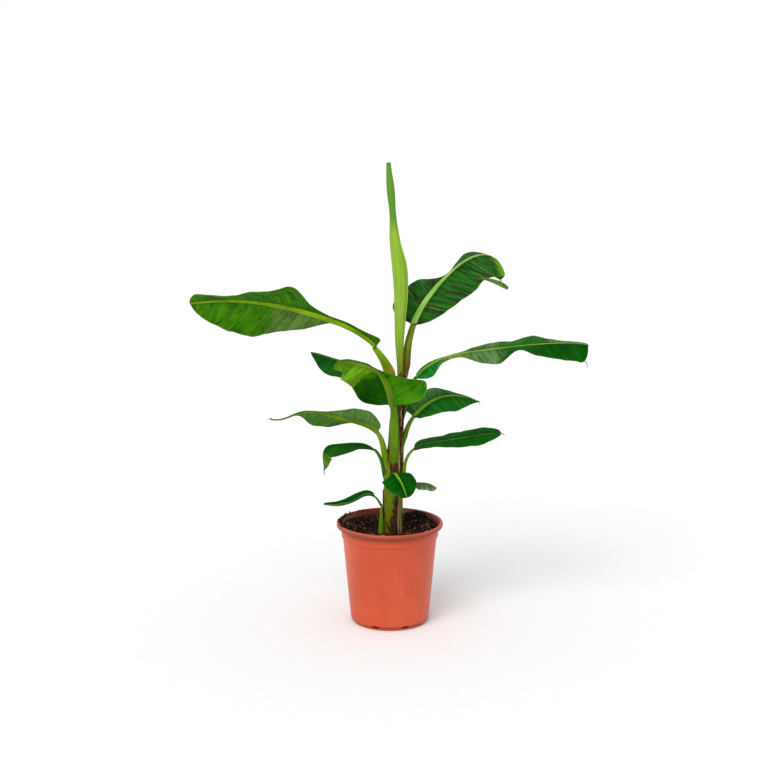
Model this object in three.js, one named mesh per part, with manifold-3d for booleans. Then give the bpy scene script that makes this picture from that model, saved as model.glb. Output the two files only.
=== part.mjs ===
// A young banana plant, about 0.9 m tall, in a round nursery pot.
// Units are millimetres, +Z is up, and the origin is the centre of the pot's flat underside.
// Each leaf is a stalk and a thin blade that follow one arching midrib. Every leaf uses the
// same rule, and the list of leaves below holds what is different from one to the next.
import * as THREE from 'three';
import { mergeVertices } from 'three/addons/utils/BufferGeometryUtils.js';
import Module from 'manifold-3d';

const wasm = await Module();
wasm.setup();

// ---------------------------------------------------------------- driving dimensions

const GAP = 0.3;                    // clearance that neighbouring pieces keep
const BLADE_GAP = 0.5;              // clearance between a stalk's end and its blade

const POT_HEIGHT = 200;
const POT_RIM_RADIUS = 104;
const POT_LIP_DEPTH = 9;            // height of the rolled lip
const POT_COLLAR_RADIUS = 94.6;     // the band under the lip
const POT_COLLAR_FOOT = 172;        // height of the band's lower edge
const POT_SHOULDER_RADIUS = 92;     // the tapered wall, just under the band
const POT_BODY_RADIUS = 76.8;       // the tapered wall, at its lower edge
const POT_FOOT_RADIUS = 72;
const POT_FOOT_HEIGHT = 6;
const POT_WALL = 2.2;
const POT_FLOOR = 3;
const POT_SIDES = 40;               // the soil has as many, in line with them
const DRAIN_SLOTS = 8;
const DRAIN_SLOT = { width: 15, height: 5, depth: 9 };

const SOIL_LEVEL = 178;             // flat ground around the stem
const SOIL_RISE = 6;                // how far the mix is heaped up towards the wall
const SOIL_LUMP = 2.5;
const SOIL_FLAT_RADIUS = 34;
const SOIL_RINGS = [1, 0.86, 0.7, 0.54, 0.4, 0.16];

const STEM_TOP = 503;               // the fork, where the last two leaves part
const STEM_AXIS_X = [6.5, 6.2, 8.5, 11.5, 15.5, 20.5];   // lean, from the soil to the fork
const STEM_RADIUS = [16.2, 16.4, 15, 12.6, 11.8, 11.5];
const STEM_SIDES = 24;
const STEM_RINGS = 26;
const SHEATH_SWELL = 1.7;           // how far a leaf's sheath stands out of the stem
const SHEATH_HALF_ANGLE = 58;       // degrees of the stem that a sheath covers, each way
const SHEATH_FULL_ANGLE = 29;       // the part of those over which it stands out in full
const SHEATH_TOP_TAPER = 26;        // a sheath stands out in full this far below its leaf's foot
const SHEATH_TOP_START = -6.5;      // and begins to, this far below it (so a little above)

const SPEAR_TOP = 896;
const SPEAR_AXIS_X = [19.5, 18, 19, 20.3, 17.5, 9, 5, 1.2, -2.6];
const SPEAR_RADIUS = [6.2, 8.8, 11.6, 14.3, 15.4, 11, 7.2, 8.2, 4.5];
const SPEAR_DEPTH = 0.8;            // the roll is a little flat from front to back
const SPEAR_SEAM_STEP = 0.2;        // how far the outer lap stands over the inner one
const SPEAR_SEAM_TURN = [330, 250]; // where the seam runs, at the foot and at the tip
const SPEAR_SIDES = 14;
const SPEAR_RINGS = 22;

const SHOOT_TOP = 232;              // a small side shoot beside the stem
const SHOOT_AXIS = { x: [-17.5, -16.8, -16], y: [-10, -10.5, -11.5] };
const SHOOT_RADIUS = [5.6, 5, 3.4];
const SHOOT_SIDES = 10;
const SHOOT_RINGS = 6;

const STALK_STAND_OFF = 4;          // a leaf's axis starts this far outside the stem
const STALK_FOOT_SWELL = 1.55;      // a stalk is this much thicker where it leaves the stem
const STALK_FOOT_TAPER = 0.14;      // share of its length over which it thins into the sheath
const STALK_FOOT_THIN = 0.6;        // what is left of its thickness at that end
const STALK_CHANNEL = 0.25;         // height of the channel's floor over the stalk's axis, in radii
const STALK_CHANNEL_SIDE = 0.25;    // half the width of that floor, in radii
const STALK_SIDES = 10;
const STALK_STEP = 9;               // length between a stalk's rings
const STALK_STEPS_MIN = 5;
const BLADE_THINNESS = 100;         // blade length over blade thickness
const BLADE_CAMBER = 20;            // degrees that a half bends down on its way to the margin
const BLADE_SWEEP = 0.18;           // how far the margins reach beyond both ends of the rib
const BLADE_COLUMNS = 3;            // steps from the rib to a margin
const BLADE_BASE_SHARE = 1.2;       // half the width at a blade's base, in stalk radii
const BLADE_TIP_FULLNESS = 0.575;   // 0.5 closes the tip in an ellipse, 1 in a point
const SIDE_PHASE = 0.37;            // how far the waves of the two margins are out of step
const RIB_NARROWING = 0.7;          // share of its width that the rib loses on the way to the tip
const RIB_THINNING = 0.75;          // and of its depth
const MARGIN_MIN = 3;               // half the width that is left at a blade's very tip

// One entry for each leaf. Lengths are in mm and angles in degrees. Lists are read from the
// start to the end of the leaf (rise and swing) or of its blade (the others):
//   foot      height where it leaves the stem      heading   where it points, from +X to +Y
//   rise      slope of the midrib                  swing     how its heading changes
//   leftLift, rightLift   slope of each half, across the blade: up is positive
//   leftHalf, rightHalf   width of each half as a share of half the full width
//   base, tip             where the blade reaches its width and starts to close
//   ripple                height, number and start of the waves in the margin
const LEAVES = [
  { name: 'upper_left', foot: 489, heading: 190, stalk: 12, petiole: 66, blade: 374, width: 158,
    rise: [70, 49, 30, 19, 14, 7, -2, -8], swing: [0, -2, -3, -6, -10, -11, -12],
    leftLift: [60, 50, 50, 50, 50, 44, 23, 17, 14, 19, 26],
    leftHalf: [0.3, 0.18, 0.15, 0.12, 0.3, 0.87, 1, 1, 1, 1, 0.7],
    rightLift: [60, 30, 0, -40, -52, -55, -56, -56, -56, -56, -50],
    rightHalf: [0.3, 0.18, 0.14, 0.3, 0.6, 0.86, 1.08, 1.12, 1.06, 0.9, 0.8],
    base: 0.04, tip: 0.78, ripple: [3, 3.2, 0.2], rows: 26 },
  { name: 'upper_right', foot: 497, heading: 54, stalk: 12, petiole: 90, blade: 292, width: 122,
    rise: [86, 78, 61, 49, 38, 16, -28, -105], swing: [-18, -26, -30, -30, -28, -24, -20, -20],
    leftLift: [60, 40, 20, -25, -12, 0, -10, -10], leftHalf: [0.8, 0.9, 0.9, 0.8, 0.7, 0.7, 0.8, 1],
    rightLift: [-35, -42, -45, -42, -35, -30], rightHalf: [0.3, 0.8, 1, 1, 1, 1],
    base: 0.1, tip: 0.7, ripple: [2, 3, 0.1], rows: 24 },
  { name: 'long_right', foot: 431, heading: -10, stalk: 8, petiole: 60, blade: 346, width: 96,
    rise: [86, 56, 24, 10, 7, 6, 2, -8], swing: [0, 5, 6, 8, 10, 12],
    leftLift: [10, 10, 10, 0, 3, 9, 9, 12, 1, -4, -6],
    leftHalf: [0.3, 0.3, 0.15, 0.4, 0.8, 0.85, 0.85, 0.85, 0.8, 0.8, 0.8],
    rightLift: [-30, -50, -20, -20, -22, -30, -4, -20, -36, -44, -55],
    rightHalf: [0.3, 0.55, 0.35, 0.35, 0.85, 0.9, 0.85, 0.85, 0.85, 0.95, 1],
    base: 0.05, tip: 0.96, ripple: [2, 3, 0.1], rows: 26 },
  { name: 'front', foot: 343, heading: 268, stalk: 13, petiole: 96, blade: 178, width: 148,
    rise: [84, 83, 82, 76, 70, 64, 55, 22, 16, 2, -65],
    swing: [0, 0, -4, -20, -40, -42, -48, -66, -76, -78, -78],
    leftLift: [20, 25, 32, 14, 8, 50, 60, 60, 60],
    leftHalf: [0.55, 0.9, 1, 0.6, 0.12, 0.1, 0.1, 0.1, 0.1],
    rightLift: [-20, -28, -32, -36, -42, -50, -54, -58, -60],
    rightHalf: [0.5, 0.78, 0.88, 0.95, 0.95, 0.85, 0.72, 0.62, 0.6],
    base: 0.12, tip: 0.82, ripple: [2, 2, 0.1], rows: 24 },
  { name: 'back_left', foot: 430, heading: 140, stalk: 8, petiole: 64, blade: 150, width: 100,
    rise: [70, 57, 43, 21, 8, 7, 13, 14], swing: [0, 6, 12, 18, 20],
    leftLift: [-30, -36, -42, -38], leftHalf: [0.5, 0.8, 0.85, 0.45],
    rightLift: [-18, -18, -15, -10], rightHalf: [0.7, 1, 0.9, 0.6],
    base: 0.15, tip: 0.45, ripple: [2, 2, 0.1], rows: 14 },
  { name: 'mid_left', foot: 325, heading: 205, stalk: 10, petiole: 60, blade: 218, width: 96,
    rise: [81, 72, 28, 18, 18, 6, -24, 6], swing: [0, -10, -14, -18, -22],
    leftLift: [50, 50, 30, 8, 0, 0], leftHalf: [0.3, 0.85, 1, 0.6, 0.25, 0.15],
    rightLift: [-10, -14, -38, -50, -30, -20], rightHalf: [0.25, 0.6, 1, 0.85, 0.3, 0.15],
    base: 0.06, tip: 0.7, ripple: [1, 2, 0.1], rows: 18 },
  { name: 'low_left', foot: 285, heading: 150, stalk: 6, petiole: 60, blade: 154, width: 62,
    rise: [81, 72, 39, 3, -9, -14, -85, -100], swing: [0, 5, 10, 14, 18, 20],
    leftLift: [-35, -45, -50, -40], leftHalf: [0.3, 0.7, 1.1, 1.2],
    rightLift: [-25, -25, -20, -10], rightHalf: [0.4, 0.75, 1, 1],
    base: 0.15, tip: 0.6, ripple: [1, 2, 0.1], rows: 16 },
  { name: 'mid_right', foot: 361, heading: 20, stalk: 8, petiole: 50, blade: 150, width: 84,
    rise: [78, 65, 44, 32, 15, -4, -16, -25], swing: [0, 0, 0, -4],
    leftLift: [30, 20, 4, 0], leftHalf: [0.8, 1, 0.9, 0.7],
    rightLift: [-34, -36, -37, -30], rightHalf: [0.3, 0.85, 0.95, 0.5],
    base: 0.08, tip: 0.45, ripple: [1, 2, 0.1], rows: 14 },
  { name: 'low_right', foot: 289, heading: -14, stalk: 6, petiole: 64, blade: 172, width: 66,
    rise: [90, 74, 34, 10, 10, 11, 8, 2], swing: [0, 9, 10, 12],
    leftLift: [8, 8, 10, 17], leftHalf: [0.7, 1, 1, 1],
    rightLift: [-5, -12, -22, -15], rightHalf: [0.5, 0.9, 1, 1],
    base: 0.06, tip: 0.72, ripple: [1, 2, 0.1], rows: 16 },
  { name: 'small_front', foot: 272, heading: 268, stalk: 6, petiole: 41, blade: 66, width: 66,
    rise: [84, 71, 53, -8, -23, -38, -55, -65], swing: [0, 10, 25, 32, 42],
    leftLift: [0, 0], leftHalf: [1, 1], rightLift: [-30, -15, 0], rightHalf: [1, 1],
    base: 0.3, tip: 0.4, ripple: [1, 2, 0.1], rows: 10 },
  { name: 'small_right', foot: 240, heading: 45, stalk: 4, petiole: 46, blade: 54, width: 34,
    rise: [69, 58, 32, 10, -6, -11, -28, -37], swing: [0, -10, -16, -22, -26],
    leftLift: [-20, -20], leftHalf: [1, 1], rightLift: [-50, -50], rightHalf: [1, 1],
    base: 0.2, tip: 0.6, ripple: [0, 2, 0.1], rows: 10 },
  { name: 'shoot', start: [-16.5, -12, 234.5], heading: 190, stalk: 4, petiole: 24, blade: 104, width: 32,
    rise: [68, 48, 0, -30, -20, -10, 6, 10], swing: [0, -2, -4, -4],
    leftLift: [25, 25], leftHalf: [1, 1], rightLift: [30, 30], rightHalf: [1, 1],
    base: 0.3, tip: 0.3, ripple: [0, 2, 0.1], rows: 12 },
];

const FINISHES = {
  pot: { color: 0xd65c38, roughness: 0.5 },
  soil: { color: 0x2c1c14, roughness: 0.95 },
  stem: { color: 0x8aa53c, roughness: 0.5 },
  spear: { color: 0x9cc04a, roughness: 0.45 },
  stalk: { color: 0x86b23e, roughness: 0.5 },
  blade: { color: 0x2f7d24, roughness: 0.4 },
};

// ---------------------------------------------------------------- small helpers

const radians = THREE.MathUtils.degToRad;
const clamp = THREE.MathUtils.clamp;
const smoothstep = THREE.MathUtils.smoothstep;

// A smooth curve through evenly spaced values, read at u from 0 to 1.
function smooth(values, u) {
  const last = values.length - 1;
  const place = clamp(u, 0, 1) * last;
  const i = Math.min(Math.floor(place), last - 1);
  const f = place - i;
  const before = values[Math.max(i - 1, 0)];
  const after = values[Math.min(i + 2, last)];
  const slopeIn = (values[i + 1] - before) / 2;
  const slopeOut = (after - values[i]) / 2;
  return (2 * f ** 3 - 3 * f ** 2 + 1) * values[i] + (f ** 3 - 2 * f ** 2 + f) * slopeIn
    + (-2 * f ** 3 + 3 * f ** 2) * values[i + 1] + (f ** 3 - f ** 2) * slopeOut;
}

// The volume inside a closed triangle mesh, negative when its faces point in.
function signedVolume(points, faces) {
  let volume = 0;
  for (const [a, b, c] of faces) {
    volume += points[a].dot(new THREE.Vector3().crossVectors(points[b], points[c])) / 6;
  }
  return volume;
}

// Triangles that close one ring, worked out on its own best plane.
function capFaces(points) {
  const normal = new THREE.Vector3();
  points.forEach((point, i) => {
    normal.add(new THREE.Vector3().crossVectors(point, points[(i + 1) % points.length]));
  });
  const flat = new THREE.Quaternion().setFromUnitVectors(normal.normalize(), new THREE.Vector3(0, 0, 1));
  const contour = points.map((point) => {
    const laid = point.clone().sub(points[0]).applyQuaternion(flat);
    return new THREE.Vector2(laid.x, laid.y);
  });
  return THREE.ShapeUtils.triangulateShape(contour, []);
}

// A closed solid through a row of closed rings, all with the same number of points.
function loft(rings) {
  const sides = rings[0].length;
  const last = (rings.length - 1) * sides;
  const points = rings.flat();
  const faces = [];
  for (let row = 0; row < last; row += sides) {
    for (let i = 0; i < sides; i++) {
      const a = row + i;
      const b = row + ((i + 1) % sides);
      faces.push([a, b, b + sides], [a, b + sides, a + sides]);
    }
  }
  for (const face of capFaces(rings[0])) {
    faces.push([face[2], face[1], face[0]]);
  }
  for (const face of capFaces(rings[rings.length - 1])) {
    faces.push(face.map((k) => k + last));
  }
  if (signedVolume(points, faces) < 0) {
    faces.forEach((face) => face.reverse());
  }
  const geometry = new THREE.BufferGeometry().setFromPoints(points);
  geometry.setIndex(faces.flat());
  return geometry;
}

// A round ring of points in the plane of two directions, with radius(turn) for each of them.
function ring(centre, across, up, sides, radius) {
  return Array.from({ length: sides }, (_, i) => {
    const turn = ((i + 0.5) / sides) * 2 * Math.PI;
    const size = radius(turn);
    return centre.clone()
      .addScaledVector(across, Math.cos(turn) * size)
      .addScaledVector(up, Math.sin(turn) * size);
  });
}

function solidOf(geometry) {
  const bare = geometry.clone();
  bare.deleteAttribute('normal');
  bare.deleteAttribute('uv');
  const merged = mergeVertices(bare, 1e-4);
  return new wasm.Manifold(new wasm.Mesh({
    numProp: 3,
    vertProperties: new Float32Array(merged.attributes.position.array),
    triVerts: new Uint32Array(merged.index.array),
  }));
}

function geometryOf(solid) {
  const mesh = solid.getMesh();
  const geometry = new THREE.BufferGeometry();
  geometry.setAttribute('position', new THREE.BufferAttribute(mesh.vertProperties, 3));
  geometry.setIndex(new THREE.BufferAttribute(mesh.triVerts, 1));
  return geometry;
}

// What is left of a piece, in one lump, once another has been cut out of it.
function cutClear(geometry, cutter) {
  const lumps = solidOf(geometry).subtract(solidOf(cutter)).decompose();
  lumps.sort((a, b) => b.volume() - a.volume());
  return geometryOf(lumps[0]);
}

const X = new THREE.Vector3(1, 0, 0);
const Y = new THREE.Vector3(0, 1, 0);

// ---------------------------------------------------------------- pot and soil

function potGeometry() {
  const lipFoot = POT_HEIGHT - POT_LIP_DEPTH;
  const inner = (radius) => radius - POT_WALL;
  const profile = [
    [0, 0], [POT_FOOT_RADIUS, 0], [POT_FOOT_RADIUS, POT_FOOT_HEIGHT - 1],
    [POT_BODY_RADIUS, POT_FOOT_HEIGHT], [POT_SHOULDER_RADIUS, POT_COLLAR_FOOT - 1],
    [POT_COLLAR_RADIUS, POT_COLLAR_FOOT], [POT_COLLAR_RADIUS + 1, lipFoot - 1],
    [POT_RIM_RADIUS - 1, lipFoot], [POT_RIM_RADIUS, lipFoot + 1.5], [POT_RIM_RADIUS, POT_HEIGHT - 2],
    [POT_RIM_RADIUS - 2, POT_HEIGHT], [POT_RIM_RADIUS - 4.5, POT_HEIGHT],
    [inner(POT_COLLAR_RADIUS + 1), lipFoot], [inner(POT_COLLAR_RADIUS), POT_COLLAR_FOOT + 2],
    [inner(POT_SHOULDER_RADIUS), POT_COLLAR_FOOT - 2], [inner(POT_BODY_RADIUS), POT_FOOT_HEIGHT + 1],
    [POT_FOOT_RADIUS - POT_WALL, POT_FLOOR], [0, POT_FLOOR],
  ].map(([radius, height]) => new THREE.Vector2(radius, height));
  const shell = new THREE.LatheGeometry(profile, POT_SIDES, Math.PI / POT_SIDES);
  shell.rotateX(Math.PI / 2);                   // the lathe turns about Y
  let solid = solidOf(shell);
  if (solid.volume() < 0) {
    throw new Error('the pot is inside out');
  }
  for (let i = 0; i < DRAIN_SLOTS; i++) {
    const slot = new THREE.BoxGeometry(DRAIN_SLOT.depth, DRAIN_SLOT.width, DRAIN_SLOT.height);
    slot.translate(POT_BODY_RADIUS - POT_WALL / 2, 0, POT_FLOOR + 1 + DRAIN_SLOT.height / 2);
    slot.rotateZ(((i + 0.5) / DRAIN_SLOTS) * 2 * Math.PI);
    solid = solid.subtract(solidOf(slot));
  }
  return geometryOf(solid);
}

// Height of the mix: flat at the stem, heaped and lumpy further out.
function soilHeight(x, y) {
  const reach = Math.hypot(x, y);
  const heap = smoothstep(reach, SOIL_FLAT_RADIUS, POT_COLLAR_RADIUS - 10);
  const lumps = Math.sin(x * 0.11 + 1) * Math.cos(y * 0.13) + Math.sin((x - y) * 0.07);
  const side = 1 + 0.5 * (x + y) / (2 * reach + 1);     // a little higher at the back right
  return SOIL_LEVEL + heap * (SOIL_RISE * side + SOIL_LUMP * lumps / 2);
}

function soilGeometry() {
  const lowRadius = POT_BODY_RADIUS - POT_WALL - 2 * GAP;
  const topRadius = POT_COLLAR_RADIUS - POT_WALL - 2 * GAP;
  const foot = ring(new THREE.Vector3(0, 0, POT_FLOOR + GAP), X, Y, POT_SIDES, () => POT_FOOT_RADIUS - 5);
  const low = ring(new THREE.Vector3(0, 0, POT_FOOT_HEIGHT + 2), X, Y, POT_SIDES, () => lowRadius);
  const shoulder = ring(new THREE.Vector3(0, 0, POT_COLLAR_FOOT - 4), X, Y, POT_SIDES,
    () => POT_SHOULDER_RADIUS - POT_WALL - 3 * GAP);
  const top = SOIL_RINGS.map((share) => {
    const points = ring(new THREE.Vector3(), X, Y, POT_SIDES, () => topRadius * share);
    points.forEach((point) => point.setZ(soilHeight(point.x, point.y)));
    return points;
  });
  return loft([foot, low, shoulder, ...top]);
}

// ---------------------------------------------------------------- stem, shoot and spear

const STEM_FOOT = SOIL_LEVEL + GAP;

function stemAxis(height) {
  const u = (height - STEM_FOOT) / (STEM_TOP - STEM_FOOT);
  return { centre: new THREE.Vector3(smooth(STEM_AXIS_X, u), 0, height), radius: smooth(STEM_RADIUS, u) };
}

// The stem is made of the feet of its leaves, wrapped round each other. Each sheath stands a
// little proud on its own leaf's side, from the soil up to where that leaf parts from the stem.
function sheathSwell(turn, height) {
  let swell = 0;
  for (const leaf of LEAVES.filter(({ foot }) => foot)) {
    const offset = THREE.MathUtils.radToDeg(turn) - leaf.heading;
    const away = Math.abs(THREE.MathUtils.euclideanModulo(offset + 180, 360) - 180);
    const wrap = 1 - smoothstep(away, SHEATH_FULL_ANGLE, SHEATH_HALF_ANGLE);
    const end = smoothstep(leaf.foot - height, SHEATH_TOP_START, SHEATH_TOP_TAPER);
    swell = Math.max(swell, wrap * end);
  }
  return SHEATH_SWELL * swell;
}

function stemGeometry(extra = 0) {
  const rings = Array.from({ length: STEM_RINGS + 1 }, (_, row) => {
    const height = STEM_FOOT + (STEM_TOP - STEM_FOOT) * (row / STEM_RINGS);
    const { centre, radius } = stemAxis(height);
    const place = centre.clone().setZ(row === STEM_RINGS ? height + extra : height);
    return ring(place, X, Y, STEM_SIDES, (turn) => radius + sheathSwell(turn, height) + extra);
  });
  return loft(rings);
}

function shootGeometry(extra = 0) {
  const rings = Array.from({ length: SHOOT_RINGS + 1 }, (_, row) => {
    const u = row / SHOOT_RINGS;
    const height = STEM_FOOT + (SHOOT_TOP + extra - STEM_FOOT) * u;
    const centre = new THREE.Vector3(smooth(SHOOT_AXIS.x, u), smooth(SHOOT_AXIS.y, u), height);
    return ring(centre, X, Y, SHOOT_SIDES, () => smooth(SHOOT_RADIUS, u) + extra);
  });
  return loft(rings);
}

// The youngest leaf, still rolled up: one lap whose free edge winds slowly up the roll.
function spearGeometry() {
  const foot = STEM_TOP + GAP;
  const depth = Y.clone().multiplyScalar(SPEAR_DEPTH);
  const rings = Array.from({ length: SPEAR_RINGS + 1 }, (_, row) => {
    const u = row / SPEAR_RINGS;
    const centre = new THREE.Vector3(smooth(SPEAR_AXIS_X, u), 0, foot + (SPEAR_TOP - foot) * u);
    const seam = radians(SPEAR_SEAM_TURN[0] + (SPEAR_SEAM_TURN[1] - SPEAR_SEAM_TURN[0]) * u);
    return ring(centre, X, depth, SPEAR_SIDES, (turn) => {
      const lap = THREE.MathUtils.euclideanModulo(turn - seam, 2 * Math.PI) / (2 * Math.PI);
      return smooth(SPEAR_RADIUS, u) * (1 - SPEAR_SEAM_STEP * lap);
    });
  });
  return loft(rings);
}

// ---------------------------------------------------------------- leaves

const MIDRIB_STEPS = 60;

// Directions at a place on a leaf: along the midrib, level to its right, and up from its face.
function leafFrame(leaf, u) {
  const slope = radians(smooth(leaf.rise, u));
  const bearing = radians(leaf.heading + smooth(leaf.swing, u));
  const along = new THREE.Vector3(
    Math.cos(slope) * Math.cos(bearing), Math.cos(slope) * Math.sin(bearing), Math.sin(slope));
  const right = new THREE.Vector3(Math.sin(bearing), -Math.cos(bearing), 0);
  return { along, right, up: new THREE.Vector3().crossVectors(right, along) };
}

// The midrib is walked in small steps, each in the direction that the leaf has there.
function midribOf(leaf) {
  const length = leaf.petiole + leaf.blade;
  let point;
  if (leaf.start) {
    point = new THREE.Vector3(...leaf.start);
  } else {
    const { centre, radius } = stemAxis(leaf.foot);
    const out = radians(leaf.heading);
    point = centre.clone().add(new THREE.Vector3(Math.cos(out), Math.sin(out), 0)
      .multiplyScalar(radius + STALK_STAND_OFF));
  }
  const points = [point];
  for (let step = 0; step < MIDRIB_STEPS; step++) {
    const { along } = leafFrame(leaf, (step + 0.5) / MIDRIB_STEPS);
    point = point.clone().addScaledVector(along, length / MIDRIB_STEPS);
    points.push(point);
  }
  return points;
}

function midribPoint(points, u) {
  const place = clamp(u, 0, 1) * MIDRIB_STEPS;
  const i = Math.min(Math.floor(place), MIDRIB_STEPS - 1);
  return points[i].clone().lerp(points[i + 1], place - i);
}

// Half the blade's width along its length, as a share: round at the base, closing to the tip.
function outline(t, base, tip) {
  const opening = t < base ? Math.sqrt(1 - (1 - t / base) ** 2) : 1;
  const closing = clamp((t - tip) / (1 - tip), 0, 1);
  return opening * (1 - closing ** 2) ** BLADE_TIP_FULLNESS;
}

// A stalk: round below, with a channel along its upper side, thickest at the stem.
function petioleGeometry(leaf, midrib, neck) {
  const end = neck - BLADE_GAP / (leaf.petiole + leaf.blade);
  const steps = Math.max(STALK_STEPS_MIN, Math.round(leaf.petiole / STALK_STEP));
  const rings = Array.from({ length: steps + 1 }, (_, row) => {
    const share = row / steps;
    const u = end * share;
    const { right, up } = leafFrame(leaf, u);
    const thinned = STALK_FOOT_THIN + (1 - STALK_FOOT_THIN) * Math.min(share / STALK_FOOT_TAPER, 1);
    const radius = (leaf.stalk / 2) * thinned * (STALK_FOOT_SWELL + (1 - STALK_FOOT_SWELL) * share);
    const points = ring(midribPoint(midrib, u), up, right, STALK_SIDES, () => radius);
    const floor = midribPoint(midrib, u).addScaledVector(up, radius * STALK_CHANNEL);
    for (const [i, side] of [[0, 1], [STALK_SIDES - 1, -1]]) {
      points[i].copy(floor).addScaledVector(right, side * STALK_CHANNEL_SIDE * radius);
    }
    return points;
  });
  return loft(rings);
}

// One half of a blade's cross-section, as points from the rib's edge out to the margin.
function halfSection(leaf, t, side) {
  const half = side < 0 ? leaf.leftHalf : leaf.rightHalf;
  const lift = side < 0 ? leaf.leftLift : leaf.rightLift;
  const full = (leaf.width / 2) * smooth(half, t) * outline(t, leaf.base, leaf.tip);
  const stalkRadius = leaf.stalk / 2;
  const base = BLADE_BASE_SHARE * stalkRadius;
  const width = Math.max(full, base * (1 - t), MARGIN_MIN);
  const ribEdge = Math.min(stalkRadius * (1 - RIB_NARROWING * t), width / 2);
  const [height, waves, start] = leaf.ripple;
  const points = [];
  let across = 0;
  let rise = 0;
  let reached = 0;
  for (let j = 0; j < BLADE_COLUMNS; j++) {
    const distance = ribEdge + (width - ribEdge) * (j / (BLADE_COLUMNS - 1));
    const middle = (reached + distance) / 2 / width;
    const slope = radians(smooth(lift, t) + BLADE_CAMBER * (0.5 - middle));
    across += Math.cos(slope) * (distance - reached);
    rise += Math.sin(slope) * (distance - reached);
    reached = distance;
    const share = (distance - ribEdge) / (width - ribEdge);
    const phase = 2 * Math.PI * (waves * t + start + (side > 0 ? SIDE_PHASE : 0));
    const wave = height * Math.sin(phase) * share ** 2 * Math.min(width / (leaf.width / 2), 1);
    const sweep = BLADE_SWEEP * share * Math.max(distance - base, 0) * (2 * t - 1);
    points.push({ across: side * across, rise: rise + wave, sweep });
  }
  return points;
}

// A blade: an arching sheet with the midrib standing out of its underside.
function bladeGeometry(leaf, midrib, neck) {
  const thickness = leaf.blade / BLADE_THINNESS;
  const columns = 2 * BLADE_COLUMNS + 1;
  const sheet = Array.from({ length: leaf.rows + 1 }, (_, row) => {
    const t = row / leaf.rows;
    const u = neck + (1 - neck) * t;
    const { along, right, up } = leafFrame(leaf, u);
    const place = ({ across, rise, sweep }) => midribPoint(midrib, u)
      .addScaledVector(right, across).addScaledVector(up, rise).addScaledVector(along, sweep);
    return [
      ...halfSection(leaf, t, -1).reverse().map(place),
      midribPoint(midrib, u),
      ...halfSection(leaf, t, 1).map(place),
    ];
  });
  const rings = sheet.map((line, row) => {
    const t = row / leaf.rows;
    const next = sheet[Math.min(row + 1, leaf.rows)];
    const last = sheet[Math.max(row - 1, 0)];
    const course = leafFrame(leaf, neck + (1 - neck) * t).along;
    const isEnd = row === 0 || row === leaf.rows;     // both ends are cut off square
    const upper = [];
    const lower = [];
    for (let j = 0; j < columns; j++) {
      const across = line[Math.min(j + 1, columns - 1)].clone().sub(line[Math.max(j - 1, 0)]);
      const along = isEnd ? course : next[j].clone().sub(last[j]);
      const normal = across.cross(along).normalize();
      const rib = j === BLADE_COLUMNS ? (leaf.stalk / 2) * (1 - RIB_THINNING * t) : 0;
      upper.push(line[j].clone().addScaledVector(normal, thickness / 2));
      lower.push(line[j].clone().addScaledVector(normal, -thickness / 2 - rib));
    }
    return [...upper, ...lower.reverse()];
  });
  return loft(rings);
}

// ---------------------------------------------------------------- the plant

const plant = new THREE.Group();

function addPiece(name, geometry, finish) {
  const piece = new THREE.Mesh(geometry, new THREE.MeshStandardMaterial({ ...finish, metalness: 0 }));
  piece.name = name;
  plant.add(piece);
}

addPiece('pot', potGeometry(), FINISHES.pot);
addPiece('soil', soilGeometry(), FINISHES.soil);
addPiece('stem', stemGeometry(), FINISHES.stem);
addPiece('shoot', shootGeometry(), FINISHES.stem);
addPiece('spear', spearGeometry(), FINISHES.spear);

const stemSpace = stemGeometry(GAP);
const shootSpace = shootGeometry(GAP);
for (const leaf of LEAVES) {
  const midrib = midribOf(leaf);
  const neck = leaf.petiole / (leaf.petiole + leaf.blade);
  const stalk = cutClear(petioleGeometry(leaf, midrib, neck), leaf.start ? shootSpace : stemSpace);
  addPiece(`stalk_${leaf.name}`, stalk, FINISHES.stalk);
  addPiece(`blade_${leaf.name}`, bladeGeometry(leaf, midrib, neck), FINISHES.blade);
}

export default plant;
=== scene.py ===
"""A young banana plant in a nursery pot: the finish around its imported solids.

Lengths are in millimetres until a mesh is made, which turns them into metres. Each leaf is
one thin skin from its sheath on the stem, through its stalk, to the tip of its blade.
"""
import math
import random

import bmesh
import bpy
import numpy as np
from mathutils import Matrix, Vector


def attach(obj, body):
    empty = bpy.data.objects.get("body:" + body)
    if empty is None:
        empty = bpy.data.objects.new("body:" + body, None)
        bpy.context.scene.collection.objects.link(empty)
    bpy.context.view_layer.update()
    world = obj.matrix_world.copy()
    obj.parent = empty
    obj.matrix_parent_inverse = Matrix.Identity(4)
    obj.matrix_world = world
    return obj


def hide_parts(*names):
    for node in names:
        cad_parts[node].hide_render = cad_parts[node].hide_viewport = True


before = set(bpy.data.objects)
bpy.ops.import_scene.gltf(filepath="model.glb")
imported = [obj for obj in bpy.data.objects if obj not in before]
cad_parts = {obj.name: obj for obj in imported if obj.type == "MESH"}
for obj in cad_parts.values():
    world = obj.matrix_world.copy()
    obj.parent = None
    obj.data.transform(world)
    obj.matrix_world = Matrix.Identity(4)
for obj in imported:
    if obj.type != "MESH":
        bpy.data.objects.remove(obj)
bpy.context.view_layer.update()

MM = 0.001
TAU = 2 * math.pi


# ---------------------------------------------------------------- shader helpers

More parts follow.
